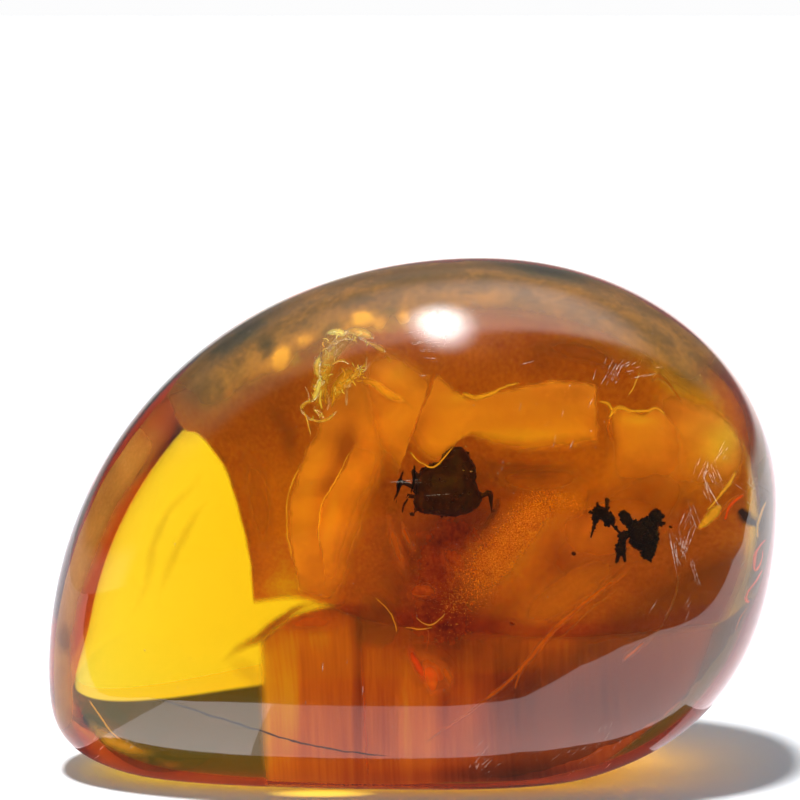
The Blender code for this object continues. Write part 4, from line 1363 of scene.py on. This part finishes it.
# %% Bristles and crumbs
def shell_points(obj, count, random):
    """Points and outward directions, in mm, picked at random on an object's faces."""
    mesh = obj.data
    mesh.calc_loop_triangles()
    areas = np.array([tri.area for tri in mesh.loop_triangles])
    picks = random.choice(len(areas), count, p=areas / areas.sum())
    places, ways = [], []
    for pick in picks:
        tri = mesh.loop_triangles[int(pick)]
        weights = random.dirichlet((1, 1, 1))
        corners = [np.array(obj.matrix_world @ mesh.vertices[v].co) / MM for v in tri.vertices]
        places.append(sum(w * c for w, c in zip(weights, corners)))
        ways.append(np.array((obj.matrix_world.to_3x3() @ tri.normal).normalized()))
    return np.array(places), np.array(ways)


def make_fuzz(name, node, mat, bristles, bristle_mm, crumbs, crumb_mm, seed):
    """Spikes and rough grains standing on a solid's shell."""
    random = np.random.default_rng(seed)
    verts, faces = [], []
    places, ways = shell_points(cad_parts[node], bristles + crumbs, random)
    for place, way in zip(places[:bristles], ways[:bristles]):
        tip = way + random.normal(0, 0.45, 3)
        tip = place + tip / np.linalg.norm(tip) * bristle_mm * random.uniform(0.35, 1.3)
        side = np.cross(way, random.normal(0, 1, 3))
        side /= np.linalg.norm(side)
        other = np.cross(way, side)
        base = len(verts)
        for k in range(3):
            turn = math.tau * k / 3
            foot = (side * math.cos(turn) + other * math.sin(turn)) * bristle_mm * 0.13
            verts.append(place - way * 0.02 + foot)
        verts.append(tip)
        faces += [(base, base + 1, base + 3), (base + 1, base + 2, base + 3),
                  (base + 2, base, base + 3), (base + 2, base + 1, base)]
    for place in places[bristles:]:
        ball = bmesh.new()
        bmesh.ops.create_icosphere(ball, subdivisions=1, radius=1.0)
        size = crumb_mm * random.uniform(0.35, 1.2)
        stretch = random.uniform(0.6, 1.3, 3) * size
        base = len(verts)
        verts += [place + np.array(v.co) * stretch * random.uniform(0.7, 1.2) for v in ball.verts]
        faces += [tuple(base + v.index for v in face.verts) for face in ball.faces]
        ball.free()
    obj = add_piece(name, verts, faces, [mat], smooth=False)
    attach(obj, "root")
    print(name, len(faces), "faces")


# %% [markdown]
# The husk's solid is faceted, and a husk in resin looks soft and swollen. A copy of it is
# remeshed into even cells, smoothed, and pushed in and out a little by noise.


# %% Husk shell
def softened(name, node, mat, cell_mm, rounds):
    """The node's solid, its facets rounded off: remeshed finely, then smoothed."""
    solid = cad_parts[node]
    work = bpy.data.objects.new("work", solid.data.copy())
    bpy.context.scene.collection.objects.link(work)
    remesh = work.modifiers.new("remesh", "REMESH")
    remesh.mode = "VOXEL"
    remesh.voxel_size = cell_mm * MM
    smooth = work.modifiers.new("smooth", "SMOOTH")
    smooth.iterations = rounds
    bpy.context.view_layer.update()
    mesh = bpy.data.meshes.new_from_object(
        work.evaluated_get(bpy.context.evaluated_depsgraph_get()))
    places = [solid.matrix_world @ v.co / MM for v in mesh.vertices]
    lumps = [noise.noise(v / 0.9) * 0.10 + noise.noise(v / 0.3) * 0.03 for v in places]
    places = [v + n.vector * lump
              for v, n, lump in zip(places, mesh.vertex_normals, lumps)]
    obj = add_piece(name, places, [tuple(face.vertices) for face in mesh.polygons], [mat])
    bpy.data.objects.remove(work)
    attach(obj, "root")
    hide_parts(node)
    print(name, len(obj.data.polygons), "faces")


softened("husk_shell", "husk", brown_chitin, cell_mm=0.07, rounds=10)
make_fuzz("insect_fuzz", "insect", black_chitin, bristles=1500, bristle_mm=0.15, crumbs=260,
          crumb_mm=0.12, seed=31)
make_fuzz("husk_fuzz", "husk", brown_chitin, bristles=500, bristle_mm=0.14, crumbs=120,
          crumb_mm=0.14, seed=32)

# %% [markdown]
# ## Light
# Amber is shown best before a white wall, with a bright sky above it and a dark room in front:
# it glows from behind and keeps crisp, dark rims. It stands on a pale, nearly even floor, into
# which a yellow caustic before it is painted as a glow.

# %% Stage and light
FLOOR_HALF = 600.0
FLOOR_HEIGHT = -0.02     # mm: just clear of the ground flat
PAINTED_CAUSTIC_AT = (-6.2 * MM, -6.3 * MM, 0)
PAINTED_CAUSTIC_SIZE = (4.0 * MM, 1.1 * MM, 1.0)
floor_mat, tree, out = new_material("pale_floor")
where = add_node(tree, "ShaderNodeTexCoord")
grain = add_node(tree, "ShaderNodeTexNoise", inputs={
    "Vector": where.outputs["Object"], "Scale": 300.0, "Detail": 3.0})
tint = add_node(tree, "ShaderNodeMix", {"data_type": "RGBA"}, {
    0: grain.outputs[0], 6: colour("F4F6F9"), 7: colour("FAFBFC")})
# painted caustic: the floor glows in a soft yellow streak just before the piece, standing in for the
# light it gathers
caustic = add_node(tree, "ShaderNodeMapping", {"vector_type": "TEXTURE"}, {
    "Vector": where.outputs["Object"], "Location": PAINTED_CAUSTIC_AT,
    "Scale": PAINTED_CAUSTIC_SIZE})
caustic = add_node(tree, "ShaderNodeTexGradient", {"gradient_type": "SPHERICAL"}, {
    "Vector": caustic.outputs[0]})
caustic = add_node(tree, "ShaderNodeMapRange", inputs={
    "Value": caustic.outputs[0], "From Min": 0.0, "From Max": 0.6, "To Max": 1.0})
pale = add_node(tree, "ShaderNodeBsdfPrincipled", inputs={
    "Base Color": tint.outputs[2], "Roughness": 0.7, "Emission Color": colour("FFD028"),
    "Emission Strength": caustic.outputs[0]})
tree.links.new(pale.outputs[0], out.inputs["Surface"])
FLOOR_CORNERS = [(x * FLOOR_HALF, y * FLOOR_HALF, FLOOR_HEIGHT)
                 for x, y in ((-1, -1), (1, -1), (1, 1), (-1, 1))]
floor = add_piece("floor", FLOOR_CORNERS, [(0, 1, 2, 3)], [floor_mat])
print("floor", 2 * FLOOR_HALF, "mm wide")

# %% [markdown]
# Four cards lie on the floor that only mirror images show, as in a studio. A bright one round
# the piece and one behind it give the pale bands low on its polish, a dimmer strip between them
# stands for the piece's own shadow, and a dark one under them all keeps the middle clear, so
# that the eye sees in. None of them is seen directly and none throws shade.

# %% Cards
# x, y in mm: where the bright card starts
CARD_FRONT = [(-600, -2), (-120, -7), (-42, -13), (-29, -18), (-19, -17), (-9, -16.3),
              (2, -16.9), (8, -18), (15.5, -23.7), (24, -26.6), (33, -26), (43.5, -19.5),
              (52, -16.2), (64, -13), (80, -9.6), (94, 1), (600, 160)]
# x, y in mm: where it ends below the piece
CARD_BACK = [(-24.4, -5.8), (-22.5, -7.3), (-20, -7.6), (-15, -8.2), (-8, -8.8), (2.5, -9.5),
             (7.6, -9.8), (12.4, -9.2), (17.9, -7.5), (23.9, -5.0)]
# x in mm, brightness
CARD_GLOW = [(-600, 1.3), (-24.5, 1.3), (-24.4, 3.2), (-11.5, 3.2), (-11.4, 1.3), (-4, 1.3),
             (10, 2.0), (600, 2.0)]
BEHIND_GLOW = 1.8
PENUMBRA_GLOW = 0.7
DARK_GLOW = 0.095
PENUMBRA_FROM = (17.5, -2.4)     # x, y in mm
CARD_WHITE = (0.97, 0.95, 1.0, 1)
BEHIND = 14.0            # mm: where it goes on behind the piece
CARD_HEIGHT = -0.006     # mm: just above the floor
FAR = 600.0


def make_card(name, verts, faces, glow):
    """A lit card that only mirror images show; glow is its brightness at each corner."""
    mat, tree, out = new_material(name)
    level = add_node(tree, "ShaderNodeAttribute", {"attribute_name": "glow"})
    light = add_node(tree, "ShaderNodeEmission", inputs={
        "Color": CARD_WHITE, "Strength": level.outputs["Fac"]})
    tree.links.new(light.outputs[0], out.inputs["Surface"])
    obj = add_piece(name, verts, faces, [mat], smooth=False)
    store(obj, "glow", glow)
    obj.visible_camera = False
    obj.visible_diffuse = False
    obj.visible_transmission = False


def rectangle(left, right, front, back, height=CARD_HEIGHT):
    """Corners of a level card, in mm."""
    return [(left, front, height), (right, front, height), (right, back, height),
            (left, back, height)]


front_x, front_y = zip(*CARD_FRONT)
back_x, back_y = zip(*CARD_BACK)
glow_x, glow_level = zip(*CARD_GLOW)
NEXT_TO = 0.01           # mm: how close beside an end the next station lies
stations = sorted({*front_x, *back_x, *glow_x, back_x[0] - NEXT_TO, back_x[-1] + NEXT_TO})
verts, glow = [], []
for x in stations:
    far = np.interp(x, back_x, back_y) if back_x[0] <= x <= back_x[-1] else FAR
    verts += [(x, np.interp(x, front_x, front_y), CARD_HEIGHT), (x, far, CARD_HEIGHT)]
    glow += [np.interp(x, glow_x, glow_level)] * 2
faces = [(2 * k, 2 * k + 2, 2 * k + 3, 2 * k + 1) for k in range(len(stations) - 1)]
make_card("card_bright", verts, faces, glow)
for name, corners, level in (
        ("card_behind", rectangle(back_x[0], back_x[-1], BEHIND, FAR), BEHIND_GLOW),
        ("card_penumbra", rectangle(PENUMBRA_FROM[0], back_x[-1], PENUMBRA_FROM[1], BEHIND),
         PENUMBRA_GLOW),
        ("card_dark", rectangle(-FAR, FAR, -FAR, FAR, 2 * CARD_HEIGHT), DARK_GLOW)):
    make_card(name, corners, [(0, 1, 2, 3)], [level] * 4)
print(len(stations), "stations along the bright card")

# %% [markdown]
# The sky is three pictures in one, told apart by the kind of ray that meets it. Rays that the
# polish mirrors meet a dim sky, a bright panel high up and a pale horizon. Rays that come
# through the resin meet a white wall as high as the piece, a dark room above it, and soft light
# from overhead. All the others take an even, cool fill, and the eye itself sees plain white.

# %% World
world = bpy.data.worlds.new("studio")
world.cycles.sampling_method = "NONE"    # rays find it by themselves: faster, and as clean
bpy.context.scene.world = world
world.use_nodes = True
tree = world.node_tree
tree.nodes.clear()
out = add_node(tree, "ShaderNodeOutputWorld")
where = add_node(tree, "ShaderNodeTexCoord")
axes = add_node(tree, "ShaderNodeSeparateXYZ", inputs={0: where.outputs["Generated"]})


def calc(operation, a, b):
    """One sum on two numbers or sockets; returns its socket."""
    return add_node(tree, "ShaderNodeMath", {"operation": operation}, {0: a, 1: b}).outputs[0]


def ramp(value, low, high):
    """0 at low and 1 at high, soft at both ends."""
    return add_node(tree, "ShaderNodeMapRange", {"interpolation_type": "SMOOTHSTEP"},
                    {0: value, 1: low, 2: high}).outputs[0]


x, y, z = axes.outputs


def grey(level):
    """A neutral light of a given strength."""
    return (level, level, level, 1)


# what shines through the resin
DARK_ROOM = (0.10, 0.11, 0.09, 1)
WALL = (1.2, 1.16, 1.16, 1)
WALL_TOP = (0.075, 0.055)        # height, as a share of straight up, where it ends
OVERHEAD = (4.2, 4.2, 4.3, 1)
FRONT_FILL = grey(4.4)
# what the polish mirrors
PANEL_LEFT, PANEL_RIGHT = (0.8, 0.8, 0.82, 1), (2.2, 2.1, 2.25, 1)
LOW_SKY_LEFT, LOW_SKY_RIGHT, MID_SKY = grey(0.08), grey(0.22), grey(0.42)
HORIZON_LEFT, HORIZON_RIGHT = (0.7, 0.7, 0.68, 1), (1.6, 1.58, 1.55, 1)
DARK_SIDE = grey(0.06)
EDGE_SLANT, EDGE_LIFT = 0.36, 0.25       # how the dark side's edge leans and bows
# what all other rays and the eye meet
ROOM_FILL = (0.25, 0.33, 0.40, 1)
BACKDROP = (0.98, 0.98, 0.985, 1)


def blend(share, first, second):
    """From the first light to the second by a share."""
    return add_node(tree, "ShaderNodeMix", {"data_type": "RGBA"},
                    {0: share, 6: first, 7: second}).outputs[2]


# what the polish mirrors: each step goes from its first light to its second along one axis
lift = calc("MULTIPLY", calc("MULTIPLY", z, z), calc("MULTIPLY", z, EDGE_LIFT))
edge = calc("ADD", calc("SUBTRACT", y, calc("MULTIPLY", x, EDGE_SLANT)), lift)
panel = blend(ramp(x, -0.6, 0.3), PANEL_LEFT, PANEL_RIGHT)
low_sky = blend(ramp(x, -0.8, -0.3), LOW_SKY_LEFT, LOW_SKY_RIGHT)
low_sky = blend(ramp(z, 0.35, 0.6), low_sky, MID_SKY)
sky = blend(ramp(z, 0.7, 0.92), low_sky, panel)
horizon = blend(ramp(x, -0.5, 0.3), HORIZON_LEFT, HORIZON_RIGHT)
sky = blend(ramp(z, 0.13, 0.04), sky, horizon)
mirrored = blend(ramp(edge, -0.12, 0.02), DARK_SIDE, sky)
# what shines through: white up to the horizon, grey-green above it, bright overhead and
# high in front
through = blend(ramp(z, *WALL_TOP), DARK_ROOM, WALL)
overhead = calc("MULTIPLY", ramp(z, 0.75, 0.9), ramp(y, 0.3, 0.1))
through = blend(overhead, through, OVERHEAD)
fill = calc("MULTIPLY", ramp(y, -0.2, -0.5), ramp(z, 0.1, 0.4))
through = blend(fill, through, FRONT_FILL)
path = add_node(tree, "ShaderNodeLightPath")
# a refracted ray counts as glossy too, so that test comes first and the other one last
seen = blend(path.outputs["Is Glossy Ray"], ROOM_FILL, mirrored)
seen = blend(path.outputs["Is Transmission Ray"], seen, through)
shown = blend(path.outputs["Is Camera Ray"], seen, BACKDROP)
sky = add_node(tree, "ShaderNodeBackground", inputs={"Color": shown})
tree.links.new(sky.outputs[0], out.inputs["Surface"])

print("world of", len(tree.nodes), "nodes")

# %% [markdown]
# One sun lights the stage from high up at the left, soft-edged by its width of a few degrees.
# The polish doesn't mirror it. It mirrors an oval lamp in the same direction, bright in the
# middle and dark at its edge, which gives a highlight with a soft bloom.

# %% Lamps
KEY_FROM = Vector((-0.128, -0.164, 0.978)).normalized()
KEY_AWAY = 1.0           # m
KEY_STRENGTH = 3.9       # W/m2
KEY_DEGREES = 7
GLEAM_SIZE = (0.256, 0.896)        # m: the lamp that only the polish mirrors
GLEAM_WATTS = 28
GLEAM_STEEPNESS = 2              # how fast it darkens from its middle to its edge
key_side = (Vector((1, 0, 0)) - KEY_FROM * KEY_FROM.x).normalized()
key_turn = Matrix((key_side, KEY_FROM.cross(key_side), KEY_FROM)).transposed().to_euler()


def hang_lamp(name, kind):
    """A lamp in the key direction; returns its light and its object."""
    lamp = bpy.data.lights.new(name, kind)
    holder = bpy.data.objects.new(name, lamp)
    holder.location = KEY_FROM * KEY_AWAY + Vector((0, 0, 0.02))
    holder.rotation_euler = key_turn
    bpy.context.scene.collection.objects.link(holder)
    return lamp, holder


lamp, holder = hang_lamp("key", "SUN")
lamp.energy = KEY_STRENGTH
lamp.angle = math.radians(KEY_DEGREES)
holder.visible_glossy = False
lamp, holder = hang_lamp("gleam", "AREA")
lamp.shape = "ELLIPSE"
lamp.size, lamp.size_y = GLEAM_SIZE
lamp.energy = GLEAM_WATTS
lamp.use_nodes = True
holder.visible_diffuse = False
holder.visible_transmission = False
holder.visible_camera = False
tree = lamp.node_tree
tree.nodes.clear()
out = add_node(tree, "ShaderNodeOutputLight")
where = add_node(tree, "ShaderNodeNewGeometry")
centred = add_node(tree, "ShaderNodeMapping", {"vector_type": "TEXTURE"}, {
    "Vector": where.outputs["Position"], "Location": holder.location, "Rotation": key_turn,
    "Scale": (GLEAM_SIZE[0] / 2, GLEAM_SIZE[1] / 2, 1)})
fall = add_node(tree, "ShaderNodeTexGradient", {"gradient_type": "SPHERICAL"}, {
    "Vector": centred.outputs[0]})
steep = add_node(tree, "ShaderNodeMath", {"operation": "POWER"}, {
    0: fall.outputs["Fac"], 1: GLEAM_STEEPNESS})
lit = add_node(tree, "ShaderNodeEmission", inputs={"Strength": steep.outputs[0]})
tree.links.new(lit.outputs[0], out.inputs[0])
print("lamps:", [light.name for light in bpy.data.lights])
